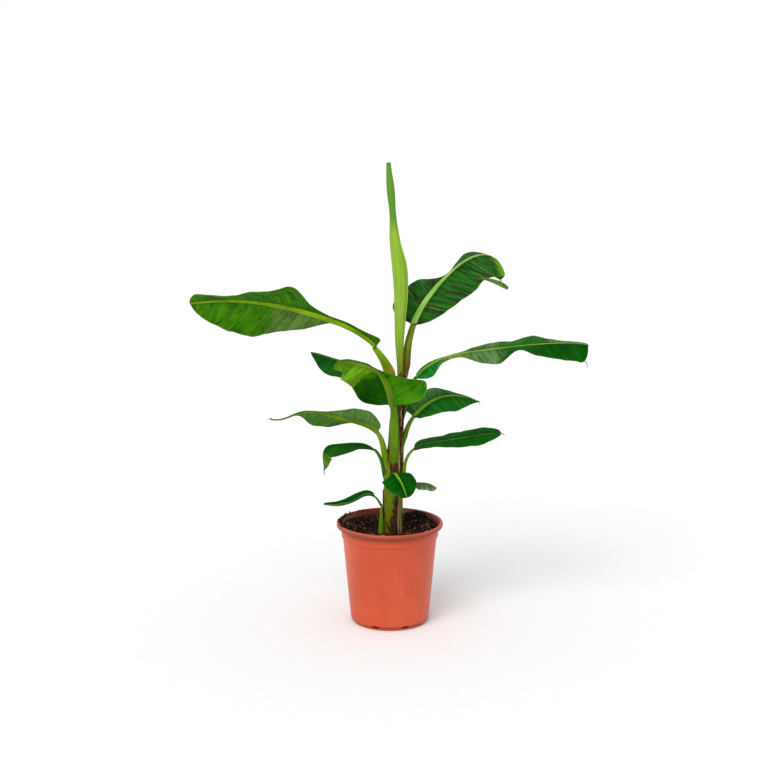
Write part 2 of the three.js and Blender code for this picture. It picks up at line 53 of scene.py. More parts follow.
class Wire:
    """A socket that can stand in a sum. Each operator adds one Math node."""

    def __init__(self, paint, socket):
        self.paint = paint
        self.socket = socket

    def math(self, operation, *terms):
        return self.paint.node("ShaderNodeMath", {"operation": operation}, dict(enumerate(terms)))

    def capped(self):
        return self.math("MINIMUM", self, 1.0)

    def __add__(self, other):
        return self.math("ADD", self, other)

    def __sub__(self, other):
        return self.math("SUBTRACT", self, other)

    def __rsub__(self, other):
        return self.math("SUBTRACT", other, self)

    def __mul__(self, other):
        return self.math("MULTIPLY", self, other)

    def __truediv__(self, other):
        return self.math("DIVIDE", self, other)

    __radd__ = __add__
    __rmul__ = __mul__


class Paint:
    """A material, and the one way that its nodes are made."""

    def __init__(self, name, tree=None):
        if tree is None:
            self.material = bpy.data.materials.new(name)
            self.material.use_nodes = True
            tree = self.material.node_tree
        self.tree = tree
        self.tree.nodes.clear()

    def node(self, kind, settings=None, sockets=None, out=0):
        """Adds a node: its settings first, then a value or a link for each socket named."""
        made = self.tree.nodes.new(kind)
        for key, value in (settings or {}).items():
            if key == "stops":
                self.set_stops(made.color_ramp, value)
            else:
                setattr(made, key, value)
        for key, value in (sockets or {}).items():
            if isinstance(value, Wire):
                self.tree.links.new(value.socket, made.inputs[key])
            else:
                made.inputs[key].default_value = value
        return Wire(self, made.outputs[out]) if made.outputs else None

    @staticmethod
    def set_stops(ramp, stops):
        while len(ramp.elements) < len(stops):
            ramp.elements.new(1.0)
        for element, (place, level) in zip(ramp.elements, stops):
            element.position = place
            element.color = (level, level, level, 1)

    def ramp(self, value, *stops):
        """Turns a value into another through (place, level) stops."""
        return self.node("ShaderNodeValToRGB", {"stops": stops}, {0: value})

    def mix(self, share, first, second):
        return self.node("ShaderNodeMix", {"data_type": "RGBA"}, {0: share, 6: first, 7: second}, 2)

    def over(self, colour, other, value, *stops):
        """A colour with another laid over it, as far as a ramp of the value says."""
        return self.mix(self.ramp(value, *stops), colour, other)

    def noise(self, place, scale, detail=3.0, rough=0.55):
        return self.node("ShaderNodeTexNoise", None, {
            "Vector": place, "Scale": scale, "Detail": detail, "Roughness": rough})

    def grain(self, x, y, z, detail=3.0, rough=0.55):
        """Noise at a place that is given by its three parts."""
        place = self.node("ShaderNodeCombineXYZ", None, {0: x, 1: y, 2: z})
        return self.noise(place, 1.0, detail, rough)

    def stretched(self, place, scales, rough=0.6):
        """Noise that has a scale of its own along each axis."""
        place = self.node("ShaderNodeVectorMath", {"operation": "MULTIPLY"}, {0: place, 1: scales})
        return self.noise(place, 1.0, 4.0, rough)

    def parts(self, vector):
        split = self.node("ShaderNodeSeparateXYZ", None, {0: vector}).socket.node
        return [Wire(self, output) for output in split.outputs]

    def attribute(self, label):
        """The three parts of what a mesh keeps under a label."""
        return self.parts(self.node("ShaderNodeAttribute", {"attribute_name": label}, None, "Vector"))

    def object_place(self):
        return self.node("ShaderNodeTexCoord", None, None, "Object")

    def bump(self, height, depth, strength=1.0):
        return self.node("ShaderNodeBump", None, {
            "Height": height, "Distance": depth * MM, "Strength": strength})

    def surface(self, **sockets):
        """The Principled shader and the output. Socket names have _ for a space."""
        shader = self.node("ShaderNodeBsdfPrincipled", None, {
            name.replace("_", " "): value for name, value in sockets.items()})
        self.node("ShaderNodeOutputMaterial", None, {"Surface": shader})
        return self.material


def tint(red, green, blue):
    """A colour given as it shows on a screen, 0 to 255, as the numbers a shader takes."""
    def linear(part):
        share = part / 255
        return share / 12.92 if share <= 0.04045 else ((share + 0.055) / 1.055) ** 2.4
    return (linear(red), linear(green), linear(blue), 1.0)


def shaded(colour, share):
    """A colour made darker, or lighter where share is above one."""
    return tuple(share * part for part in colour[:3]) + (1.0,)


# ---------------------------------------------------------------- mesh helpers

def smoothstep(low, high, value):
    share = np.clip((value - low) / (high - low), 0.0, 1.0)
    return share * share * (3 - 2 * share)


def smooth(values, u):
    """A smooth curve through evenly spaced values, read at u from 0 to 1."""
    last = len(values) - 1
    place = min(max(u, 0.0), 1.0) * last
    i = min(int(place), last - 1)
    f = place - i
    slope_in = (values[i + 1] - values[max(i - 1, 0)]) / 2
    slope_out = (values[min(i + 2, last)] - values[i]) / 2
    return ((2 * f ** 3 - 3 * f ** 2 + 1) * values[i] + (f ** 3 - 2 * f ** 2 + f) * slope_in
            + (-2 * f ** 3 + 3 * f ** 2) * values[i + 1] + (f ** 3 - f ** 2) * slope_out)


def full_turn(sides):
    """Angles that are evenly spaced round a circle."""
    return np.linspace(0, TAU, sides, endpoint=False)


def around(turn, radius=1.0, height=0.0):
    """Points at these angles round the upright axis."""
    return np.stack([np.cos(turn) * radius, np.sin(turn) * radius, np.full(len(turn), height)], 1)


def ring_faces(rows, sides):
    """Quads of a tube: rows of closed rings, each with the same number of points."""
    faces = []
    for row in range(rows - 1):
        for i in range(sides):
            a = row * sides + i
            b = row * sides + (i + 1) % sides
            faces.append((a, b, b + sides, a + sides))
    return faces


def ladder(start, half):
    """Quads that close a flat ring whose second half runs back under its first."""
    last = start + 2 * half - 1
    return [(start + i, start + i + 1, last - i - 1, last - i) for i in range(half - 1)]


def flat_tube_faces(rows, half):
    """Faces of a tube of flat rings, closed at both ends."""
    sides = 2 * half
    return ring_faces(rows, sides) + ladder(0, half) + ladder((rows - 1) * sides, half)


def linked(name, data):
    """A new object in the scene."""
    made = bpy.data.objects.new(name, data)
    bpy.context.collection.objects.link(made)
    return made


class Shape:
    """Points, faces and a finish for each face, gathered before a mesh is made of them."""

    def __init__(self):
        self.points = []
        self.faces = []
        self.finishes = []
        self.places = []
        self.spots = []

    def add(self, points, faces, finish, places=None, spots=None):
        """finish is one number, or one for each face. Faces count from this call's first point.

        places and spots are kept with the points, for the materials to read.
        """
        first = len(self.points)
        self.points.extend(map(tuple, points))
        self.places.extend(map(tuple, places) if places is not None else [(0, 0, 0)] * len(points))
        self.spots.extend(map(tuple, spots) if spots is not None else [(0, 0, 0)] * len(points))
        self.faces.extend(tuple(first + k for k in face) for face in faces)
        self.finishes.extend([finish] * len(faces) if isinstance(finish, int) else finish)

    def piece(self, name, materials, nodes=(), crease=50):
        mesh = bpy.data.meshes.new(name)
        mesh.from_pydata((np.array(self.points) * MM).tolist(), [], self.faces)
        for material in materials:
            mesh.materials.append(material)
        mesh.polygons.foreach_set("material_index", self.finishes)
        for label, values in (("place", self.places), ("spot", self.spots)):
            attribute = mesh.attributes.new(label, "FLOAT_VECTOR", "POINT")
            attribute.data.foreach_set("vector", np.array(values, dtype=np.float32).ravel())
        form = bmesh.new()
        form.from_mesh(mesh)
        bmesh.ops.recalc_face_normals(form, faces=form.faces)
        form.to_mesh(mesh)
        form.free()
        mesh.shade_smooth()
        mesh.set_sharp_from_angle(angle=math.radians(crease))
        made = linked(name, mesh)
        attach(made, "root")
        if nodes:
            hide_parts(*nodes)


# ---------------------------------------------------------------- the leaves' measures

# The solids' entries, with long_right's tip made rounder.
# Lengths in mm, angles in degrees, lists read from start to end:
# rise and swing of the midrib; for the left and right half of the blade, its slope across and
# its share of half the width; where the blade reaches its width (base) and starts to close (tip);
# ripple is the height, number and start of the waves in the margin.
LEAVES = [
    dict(name="upper_left", foot=489, heading=190, stalk=12, petiole=66, blade=374, width=158,
         rise=[70, 49, 30, 19, 14, 7, -2, -8], swing=[0, -2, -3, -6, -10, -11, -12],
         left_lift=[60, 50, 50, 50, 50, 44, 23, 17, 14, 19, 26],
         left_half=[0.3, 0.18, 0.15, 0.12, 0.3, 0.87, 1, 1, 1, 1, 0.7],
         right_lift=[60, 30, 0, -40, -52, -55, -56, -56, -56, -56, -50],
         right_half=[0.3, 0.18, 0.14, 0.3, 0.6, 0.86, 1.08, 1.12, 1.06, 0.9, 0.8],
         base=0.04, tip=0.78, ripple=[3, 3.2, 0.2]),
    dict(name="upper_right", foot=497, heading=54, stalk=12, petiole=90, blade=292, width=122,
         rise=[86, 78, 61, 49, 38, 16, -28, -105], swing=[-18, -26, -30, -30, -28, -24, -20, -20],
         left_lift=[60, 40, 20, -25, -12, 0, -10, -10], left_half=[0.8, 0.9, 0.9, 0.8, 0.7, 0.7, 0.8, 1],
         right_lift=[-35, -42, -45, -42, -35, -30], right_half=[0.3, 0.8, 1, 1, 1, 1],
         base=0.1, tip=0.7, ripple=[2, 3, 0.1]),
    dict(name="long_right", foot=431, heading=-10, stalk=8, petiole=60, blade=346, width=96,
         rise=[86, 56, 24, 10, 7, 6, 2, -8], swing=[0, 5, 6, 8, 10, 12],
         left_lift=[10, 10, 10, 0, 3, 9, 9, 12, 1, -4, -6],
         left_half=[0.3, 0.3, 0.15, 0.4, 0.8, 0.85, 0.85, 0.85, 0.8, 0.8, 0.8],
         right_lift=[-30, -50, -20, -20, -22, -30, -4, -20, -36, -44, -55],
         right_half=[0.3, 0.55, 0.35, 0.35, 0.85, 0.9, 0.85, 0.85, 0.85, 0.95, 1],
         base=0.05, tip=0.92, ripple=[2, 3, 0.1]),
    dict(name="front", foot=343, heading=268, stalk=13, petiole=96, blade=178, width=148,
         rise=[84, 83, 82, 76, 70, 64, 55, 22, 16, 2, -65],
         swing=[0, 0, -4, -20, -40, -42, -48, -66, -76, -78, -78],
         left_lift=[20, 25, 32, 14, 8, 50, 60, 60, 60],
         left_half=[0.55, 0.9, 1, 0.6, 0.12, 0.1, 0.1, 0.1, 0.1],
         right_lift=[-20, -28, -32, -36, -42, -50, -54, -58, -60],
         right_half=[0.5, 0.78, 0.88, 0.95, 0.95, 0.85, 0.72, 0.62, 0.6],
         base=0.12, tip=0.82, ripple=[2, 2, 0.1]),
    dict(name="back_left", foot=430, heading=140, stalk=8, petiole=64, blade=150, width=100,
         rise=[70, 57, 43, 21, 8, 7, 13, 14], swing=[0, 6, 12, 18, 20],
         left_lift=[-30, -36, -42, -38], left_half=[0.5, 0.8, 0.85, 0.45],
         right_lift=[-18, -18, -15, -10], right_half=[0.7, 1, 0.9, 0.6],
         base=0.15, tip=0.45, ripple=[2, 2, 0.1]),
    dict(name="mid_left", foot=325, heading=205, stalk=10, petiole=60, blade=218, width=96,
         rise=[81, 72, 28, 18, 18, 6, -24, 6], swing=[0, -10, -14, -18, -22],
         left_lift=[50, 50, 30, 8, 0, 0], left_half=[0.3, 0.85, 1, 0.6, 0.25, 0.15],
         right_lift=[-10, -14, -38, -50, -30, -20], right_half=[0.25, 0.6, 1, 0.85, 0.3, 0.15],
         base=0.06, tip=0.7, ripple=[1, 2, 0.1]),
    dict(name="low_left", foot=285, heading=150, stalk=6, petiole=60, blade=154, width=62,
         rise=[81, 72, 39, 3, -9, -14, -85, -100], swing=[0, 5, 10, 14, 18, 20],
         left_lift=[-35, -45, -50, -40], left_half=[0.3, 0.7, 1.1, 1.2],
         right_lift=[-25, -25, -20, -10], right_half=[0.4, 0.75, 1, 1],
         base=0.15, tip=0.6, ripple=[1, 2, 0.1]),
    dict(name="mid_right", foot=361, heading=20, stalk=8, petiole=50, blade=150, width=84,
         rise=[78, 65, 44, 32, 15, -4, -16, -25], swing=[0, 0, 0, -4],
         left_lift=[30, 20, 4, 0], left_half=[0.8, 1, 0.9, 0.7],
         right_lift=[-34, -36, -37, -30], right_half=[0.3, 0.85, 0.95, 0.5],
         base=0.08, tip=0.45, ripple=[1, 2, 0.1]),
    dict(name="low_right", foot=289, heading=-14, stalk=6, petiole=64, blade=172, width=66,
         rise=[90, 74, 34, 10, 10, 11, 8, 2], swing=[0, 9, 10, 12],
         left_lift=[8, 8, 10, 17], left_half=[0.7, 1, 1, 1],
         right_lift=[-5, -12, -22, -15], right_half=[0.5, 0.9, 1, 1],
         base=0.06, tip=0.72, ripple=[1, 2, 0.1]),
    dict(name="small_front", foot=272, heading=268, stalk=6, petiole=41, blade=66, width=66,
         rise=[84, 71, 53, -8, -23, -38, -55, -65], swing=[0, 10, 25, 32, 42],
         left_lift=[0, 0], left_half=[1, 1], right_lift=[-30, -15, 0], right_half=[1, 1],
         base=0.3, tip=0.4, ripple=[1, 2, 0.1]),
    dict(name="small_right", foot=240, heading=45, stalk=4, petiole=46, blade=54, width=34,
         rise=[69, 58, 32, 10, -6, -11, -28, -37], swing=[0, -10, -16, -22, -26],
         left_lift=[-20, -20], left_half=[1, 1], right_lift=[-50, -50], right_half=[1, 1],
         base=0.2, tip=0.6, ripple=[0, 2, 0.1]),
    dict(name="shoot", start=[-16.5, -12, 234.5], heading=190, stalk=4, petiole=24, blade=104, width=32,
         rise=[68, 48, 0, -30, -20, -10, 6, 10], swing=[0, -2, -4, -4],
         left_lift=[25, 25], left_half=[1, 1], right_lift=[30, 30], right_half=[1, 1],
         base=0.3, tip=0.3, ripple=[0, 2, 0.1]),
]

STEM_FOOT = 178.3
STEM_TOP = 503
STEM_AXIS_X = [6.5, 6.2, 8.5, 11.5, 15.5, 20.5]
STEM_RADIUS = [16.2, 16.4, 15, 12.6, 11.8, 11.5]

STALK_STAND_OFF = 4
STALK_FOOT_SWELL = 1.55
STALK_FOOT_SWELLS = {"upper_left": 2.3, "upper_right": 1.7}
BLADE_CAMBER = 20
BLADE_SWEEP = 0.18
MARGIN_MIN = 3
WING_MIN_OF_STALK = 1.2  # least width of a blade's half at its foot, as a share of half the stalk
RIB_TAPER = 0.7          # how much narrower the midrib is at the tip
RIPPLE_SHIFT = 0.37      # how far the right margin's waves are ahead of the left's, in waves
FRILL_WAVES = [          # height and length of each wave, and how far a leaf's seed shifts it
    (0.8, 57, 1), (0.4, 31, 2.1), (0.15, 17, 3.7),
]


def stem_at(height):
    """Centre and radius of the stem at a height."""
    u = (height - STEM_FOOT) / (STEM_TOP - STEM_FOOT)
    return np.array([smooth(STEM_AXIS_X, u), 0.0, height]), smooth(STEM_RADIUS, u)


# ---------------------------------------------------------------- leaf skins

WING_COLUMNS = 14        # points from the midrib's edge to a margin
RIB_COLUMNS = 9          # points across the midrib, above and below
HALF_RING = 2 * WING_COLUMNS + RIB_COLUMNS
ROW_PITCH = 2.0
SKIN_AT_RIB = 1.1        # thickness of the blade
SKIN_AT_MARGIN = 0.45
MARGIN_STRIP = 0.5       # the last step before the margin
UPPER, UNDER, RIB, STALK, DRY = range(5)

SHEATH_BLEND = 30        # height over which a sheath turns into its stalk
SHEATH_DEPTH = 5         # how far the sheaths reach into the mix
SHEATH_TURN_HEIGHT = 60  # height over which a sheath leans round the stem
SHEATH_ANGLE_TOP = 40    # half of the angle that a sheath wraps, where its stalk leaves it
SHEATHS = {              # half the angle at its foot, lean to the leaf's right, how dry it is
    "upper_left": (70, 0, 0.0), "upper_right": (70, 0, 0.1), "long_right": (54, 0, 0.45),
    "front": (24, -14, 1.15), "back_left": (54, 0, 0.1), "mid_left": (62, -12, 0.0),
    "low_left": (50, 0, 0.1), "mid_right": (52, 0, 0.35), "low_right": (34, 6, 0.35),
    "small_front": (38, 30, 0.0), "small_right": (40, 0, 0.2),
}


def leaf_frame(leaf, u):
    """Directions at a place on a leaf: along the midrib, level to its right, up from its face."""
    slope = math.radians(smooth(leaf["rise"], u))
    bearing = math.radians(leaf["heading"] + smooth(leaf["swing"], u))
    along = np.array([math.cos(slope) * math.cos(bearing), math.cos(slope) * math.sin(bearing),
                      math.sin(slope)])
    right = np.array([math.sin(bearing), -math.cos(bearing), 0.0])
    return along, right, np.cross(right, along)


def midrib_of(leaf, steps=60):
    """The midrib, walked in small steps, each in the direction that the leaf has there."""
    if "start" in leaf:
        point = np.array(leaf["start"], dtype=float)
    else:
        centre, radius = stem_at(leaf["foot"])
        out = math.radians(leaf["heading"])
        point = centre + np.array([math.cos(out), math.sin(out), 0.0]) * (radius + STALK_STAND_OFF)
    points = [point]
    for step in range(steps):
        along = leaf_frame(leaf, (step + 0.5) / steps)[0]
        point = point + along * (leaf["petiole"] + leaf["blade"]) / steps
        points.append(point)
    return np.array(points)


def midrib_point(points, u):
    place = min(max(u, 0.0), 1.0) * (len(points) - 1)
    i = min(int(place), len(points) - 2)
    return points[i] + (points[i + 1] - points[i]) * (place - i)


def outline(t, base, tip):
    """Half the width as a share: round at the base, closing to the tip."""
    opening = math.sqrt(1 - (1 - t / base) ** 2) if t < base else 1.0
    closing = min(max((t - tip) / (1 - tip), 0.0), 1.0)
    return opening * (1 - closing ** 2) ** 0.575


def wing(leaf, t, side):
    """One half of a blade at t: for each column, (across, rise, sweep) and its distance and share."""
    name = "left" if side < 0 else "right"
    full = leaf["width"] / 2 * smooth(leaf[name + "_half"], t) * outline(t, leaf["base"], leaf["tip"])
    stalk = leaf["stalk"] / 2
    width = max(full, WING_MIN_OF_STALK * stalk * (1 - t), MARGIN_MIN)
    edge = min(stalk * (1 - RIB_TAPER * t), width * 0.5)
    inside = 1 - min(MARGIN_STRIP / (width - edge), 0.3)
    share = np.append(np.linspace(0, inside, WING_COLUMNS - 1), 1.0)
    distance = edge + (width - edge) * share
    steps = np.diff(distance, prepend=0.0)
    middle = (distance - steps / 2) / width
    slope = np.radians(smooth(leaf[name + "_lift"], t) + BLADE_CAMBER * (0.5 - middle))
    across = np.cumsum(np.cos(slope) * steps)
    rise = np.cumsum(np.sin(slope) * steps)
    height, waves, start = leaf["ripple"]
    turn = waves * t + start + (RIPPLE_SHIFT if side > 0 else 0.0)
    fullness = min(width / (leaf["width"] / 2), 1)
    rise = rise + height * math.sin(TAU * turn) * share ** 2 * fullness
    rise = rise + frill(leaf, t, side) * share ** 3 * fullness
    sweep = BLADE_SWEEP * share * np.maximum(distance - WING_MIN_OF_STALK * stalk, 0) * (2 * t - 1)
    return across, rise, sweep, distance, share, slope


def frill(leaf, t, side):
    """The small uneven waves of a margin, different on each side of each leaf."""
    seed = leaf["heading"] * 0.37 + side * 1.3
    return sum(height * math.sin(TAU * t * leaf["blade"] / length + shift * seed)
               for height, length, shift in FRILL_WAVES)


def blade_section(leaf, t):
    """A closed section of the blade, as (right, up, along): its upper side, then its under side.

    With it come the distance across the blade and the share of the half's width, point by point.
    """
    stalk = leaf["stalk"] / 2
    sides = {side: wing(leaf, t, side) for side in (-1, 1)}
    upper, lower, places = {}, {}, {}
    for side, (across, rise, sweep, distance, share, slope) in sides.items():
        skin = SKIN_AT_RIB + (SKIN_AT_MARGIN - SKIN_AT_RIB) * share
        down = np.stack([np.sin(slope), -np.cos(slope)], 1) * skin[:, None]
        line = np.stack([side * across, rise, sweep], 1)
        under = line.copy()
        under[:, 0] += side * down[:, 0]
        under[:, 1] += down[:, 1]
        upper[side], lower[side] = line, under
        places[side] = np.stack([side * distance, share], 1)
    turn = np.linspace(-1, 1, RIB_COLUMNS + 2)[1:-1]
    left, right = upper[-1][0], upper[1][0]
    channel = left + (right - left) * ((turn + 1) / 2)[:, None]
    channel[:, 1] -= 0.3 * stalk * (1 - 0.8 * t) * (1 - turn ** 2)
    left_low, right_low = lower[-1][0], lower[1][0]
    rib = right_low + (left_low - right_low) * ((turn + 1) / 2)[:, None]
    rib[:, 1] -= stalk * (1.25 - 0.9 * t) * np.sqrt(1 - turn ** 2)
    rib_place = np.stack([turn * stalk, np.zeros_like(turn)], 1)
    ring = np.concatenate([upper[-1][::-1], channel, upper[1], lower[1][::-1], rib, lower[-1]])
    place = np.concatenate([places[-1][::-1], rib_place, places[1], places[1][::-1],
                            -rib_place, places[-1]])
    return ring, place


def stalk_section(leaf, radius):
    """A closed section of the stalk: round below, with a channel along its upper side."""
    turn = np.radians(np.linspace(176, 4, HALF_RING))
    dent = 1 - 0.78 * np.exp(-((np.degrees(turn) - 90) / 34) ** 2)
    upper = np.stack([np.cos(turn) * dent, np.sin(turn) * dent], 1)
    turn = np.radians(np.linspace(-4, -176, HALF_RING))
    lower = np.stack([np.cos(turn), np.sin(turn)], 1)
    flat = np.concatenate([upper, lower]) * radius
    ring = np.concatenate([flat, np.zeros((len(flat), 1))], 1)
    return ring, np.concatenate([flat[:, :1], np.zeros((len(flat), 1))], 1)


def stalk_radius(leaf, share):
    thinned = 0.72 + 0.28 * min(share / 0.14, 1)
    swell = STALK_FOOT_SWELLS.get(leaf["name"], STALK_FOOT_SWELL)
    return leaf["stalk"] / 2 * thinned * (swell + (1 - swell) * share)


def sheath_ring(leaf, height, order):
    """A sheath's section on the stem: inside from left to right, then outside from right to left."""
    centre, radius = stem_at(height)
    below = leaf["foot"] - height
    open_share = float(smoothstep(0, 120, below))
    angle, lean, _ = SHEATHS[leaf["name"]]
    half = math.radians(SHEATH_ANGLE_TOP + (angle - SHEATH_ANGLE_TOP) * open_share)
    inner = radius - 0.9 + 0.28 * order
    turn = np.linspace(1, -1, HALF_RING)
    lean = lean * float(smoothstep(0, SHEATH_TURN_HEIGHT, below))
    bearing = math.radians(leaf["heading"] - lean) + turn * half
    body = 0.9 + 1.4 * (1 - open_share)
    thick = 0.35 + body * np.sqrt(np.maximum(1 - turn ** 2, 0))
    inside = centre + around(bearing, inner)
    outside = centre + around(bearing, inner + thick)
    return np.concatenate([inside, outside[::-1]])


def leaf_rows(leaf, order):
    """All rings of a leaf, from its sheath to its tip, and what its materials read there.

    A place is (distance across, distance along from the foot, nearness to a sheath's edge with
    how dry the sheath is added), and a spot is (share of the blade's length, share of the half's
    width, height of the point).
    """
    midrib = midrib_of(leaf)
    length = leaf["petiole"] + leaf["blade"]
    neck = leaf["petiole"] / length
    merge = 0.5 * leaf["stalk"] / leaf["blade"]
    rings, places, spots, parts = [], [], [], []
    edge = np.abs(np.concatenate([np.linspace(1, -1, HALF_RING), np.linspace(-1, 1, HALF_RING)]))

    def placed(ring, u):
        along, right, up = leaf_frame(leaf, u)
        return midrib_point(midrib, u) + ring[:, :1] * right + ring[:, 1:2] * up + ring[:, 2:] * along

    def add_row(ring, across, distance, nearness, t, part):
        rings.append(ring)
        places.append(np.stack([across[:, 0], np.full(len(ring), distance), nearness], 1))
        spots.append(np.stack([np.full(len(ring), t), across[:, 1], ring[:, 2]], 1))
        parts.append(part)

    if "foot" in leaf:
        along, right, up = leaf_frame(leaf, 0)
        section, across = stalk_section(leaf, stalk_radius(leaf, 0))
        low = STEM_FOOT - SHEATH_DEPTH
        count = int((leaf["foot"] - low) / (2 * ROW_PITCH))
        for height in np.linspace(low, leaf["foot"], count, endpoint=False):
            below = leaf["foot"] - height
            down = midrib[0] - along * (below / along[2])
            stalk = down + section[:, :1] * right + section[:, 1:2] * up
            weight = float(smoothstep(SHEATH_BLEND, 0, below))
            ring = sheath_ring(leaf, height, order) * (1 - weight) + stalk * weight
            dryness = SHEATHS[leaf["name"]][2] * float(smoothstep(0, SHEATH_TURN_HEIGHT, below))
            add_row(ring, across, -below, edge * (1 - weight) + dryness, 0.0, STALK)
    count = int(leaf["petiole"] / ROW_PITCH)
    for share in np.linspace(0, 1, count, endpoint=False):
        section, across = stalk_section(leaf, stalk_radius(leaf, share))
        add_row(placed(section, neck * share), across, leaf["petiole"] * share, 0 * edge, 0.0, STALK)
    count = int(leaf["blade"] / ROW_PITCH)
    stalk_end, _ = stalk_section(leaf, stalk_radius(leaf, 1))
    for t in np.linspace(0, 1, count + 1):
        section, across = blade_section(leaf, t)
        weight = float(smoothstep(0, merge, t))
        section = stalk_end * (1 - weight) + section * weight
        add_row(placed(section, neck + (1 - neck) * t), across, leaf["petiole"] + leaf["blade"] * t,
                0 * edge, t, UPPER)
    return np.array(rings), np.array(places), np.array(spots), parts


def finish_of_column(column):
    """Which finish a face of the blade has, counted round its section."""
    on_top = column < HALF_RING
    from_left = column if on_top else column - HALF_RING
    on_rib = WING_COLUMNS - 1 <= from_left < WING_COLUMNS + RIB_COLUMNS
    if on_rib:
        return RIB if on_top else STALK
    return UPPER if on_top else UNDER


def leaf_piece(leaf, order, materials):
    rings, places, spots, parts = leaf_rows(leaf, order)
    rows, sides, _ = rings.shape
    faces = flat_tube_faces(rows, HALF_RING)
    columns = [finish_of_column(column) for column in range(sides)]
    finishes = []
    for row in range(rows - 1):
        finishes.extend([STALK] * sides if parts[row] == STALK else columns)
    finishes += [STALK] * (HALF_RING - 1) + [DRY] * (HALF_RING - 1)
    shape = Shape()
    shape.add(rings.reshape(-1, 3), faces, finishes, places.reshape(-1, 3), spots.reshape(-1, 3))
    nodes = (f"stalk_{leaf['name']}", f"blade_{leaf['name']}")
    shape.piece(f"leaf_{leaf['name']}", materials, nodes)


# ---------------------------------------------------------------- leaf finishes

MARGIN_TINT = tint(150, 160, 84)
STAIN_TINT = tint(58, 38, 22)
ZONE_SOFT = 0.03         # half the share of a blade over which a zone fades in or out


def leaf_places(paint):
    """What a leaf's materials read: the three parts of its place, then those of its spot."""
    return paint.attribute("place") + paint.attribute("spot")


def leaf_finish(name, deep, light, zones=(), mottle=None, glints=None):
    """A blade's face: streaks that leave the midrib and bend towards the tip.

    A zone is (side, start, end, colour, amount): -1 is the left half, 1 the right and 0 both, and
    start and end are shares of the blade's length. mottle is (colour, level), glints a colour.
    """
    paint = Paint(name)
    across, along, _, t, share, _ = leaf_places(paint)
    out = across.math("ABSOLUTE", across)
    side = across.math("SIGN", across)
    course = along - out * 0.22 - out * out * 0.0035
    veins = paint.grain(course * 0.8, out * 0.02, side * 7, 4.0, 0.65)
    bands = paint.grain(course * 0.11, out * 0.018, side * 3)
    clouds = paint.grain(along * 0.02, across * 0.03, 5.0, 2.0)
    tone = paint.ramp(veins * 0.42 + bands * 0.5 + clouds * 0.3, (0.5, 0.0), (0.7, 1.0))
    colour = paint.mix(tone, deep, light)
    if mottle:
        blotch, level = mottle
        patches = paint.grain(course * 0.1, out * 0.03, side * 11, 5.0, 0.7)
        colour = paint.over(colour, blotch, patches, (level, 0.0), (level + 0.05, 0.9))
    if glints:
        lines = paint.grain(course * 0.3, out * 0.012, side * 17, 4.0, 0.6)
        colour = paint.over(colour, glints, lines, (0.58, 0.0), (0.68, 0.8))
    reach = t + clouds * 0.16 - 0.08
    for half, start, end, other, amount in zones:
        mask = paint.ramp(reach, *zone_stops(start, end)) * (bands * 0.8 + 0.5) * amount
        if half:
            mask = mask * paint.ramp(side * half, (0.4, 0.0), (0.6, 1.0))
        streaked = paint.mix(tone, shaded(other, 0.55), shaded(other, 1.65))
        colour = paint.mix(mask.capped(), colour, streaked)
    # Painted shade: each face is darker close to the midrib, where the blade folds along it.
    colour = paint.over(colour, shaded(deep, 0.35), out * 0.05, (0.1, 0.45), (0.75, 0.0))
    colour = paint.over(colour, MARGIN_TINT, share, (0.97, 0.0), (1.0, 0.5))
    return paint.surface(
        Base_Color=colour, Roughness=veins * 0.25 + 0.44,
        Specular_IOR_Level=0.035, Normal=paint.bump(veins * 0.8 + bands * 1.6, 0.7))


def zone_stops(start, end):
    """Ramp stops that are up between start and end, and stay up to an end of the range."""
    stops = [(0.0, 1.0)] if start <= 0 else [(start - ZONE_SOFT, 0.0), (start + ZONE_SOFT, 1.0)]
    return stops + ([(1.0, 1.0)] if end >= 1 else [(end - ZONE_SOFT, 1.0), (end + ZONE_SOFT, 0.0)])


def stalk_finish(name, pale, green, flush=None, sheath=tint(104, 110, 22)):
    """Stalks, midribs and sheaths: long fine fibres, and a dry brown edge to the sheaths.

    flush is (colour, amount), for the foot of the stalk.
    """
    paint = Paint(name)
    across, along, edge, _, _, height = leaf_places(paint)
    fibres = paint.grain(across * 1.3, along * 0.02, 0.0, 4.0, 0.6)
    clouds = paint.grain(across * 0.15, along * 0.03, 4.0)
    colour = paint.over(green, pale, fibres * 0.5 + clouds * 0.6, (0.42, 0.0), (0.68, 1.0))
    colour = paint.over(colour, sheath, along * -0.01, (0.0, 0.0), (0.6, 0.85))
    if flush:
        blush, amount = flush
        glow = paint.ramp(along * 0.01 + 0.5, (0.1, 0.0), (0.4, 1.0), (0.6, 0.8), (0.85, 0.0))
        glow = glow * (clouds * 1.2 + 0.1) * amount
        colour = paint.mix(glow.capped(), colour, blush)
    worn = paint.grain(across * 0.25, along * 0.045, 9.0, 5.0, 0.65)
    low = paint.ramp(height * 0.002, (0.36, 0.13), (0.62, 0.0))
    below_stalk = paint.ramp(along * -0.05, (0.2, 0.0), (0.8, 1.0))
    stain = paint.ramp(worn + low, (0.62, 0.0), (0.68, 0.9)) * below_stalk
    colour = paint.mix(stain, colour, STAIN_TINT)
    brown = paint.over(tint(34, 20, 9), tint(92, 60, 26), fibres, (0.45, 0.0), (0.6, 1.0))
    dryness = edge * 0.4 + worn * 0.35 + fibres * 0.3
    colour = paint.over(colour, brown, dryness, (0.62, 0.0), (0.67, 1.0))
    return paint.surface(
        Base_Color=colour, Roughness=fibres * 0.2 + 0.4,
        Specular_IOR_Level=0.06, Normal=paint.bump(fibres + worn * 0.6, 0.35))


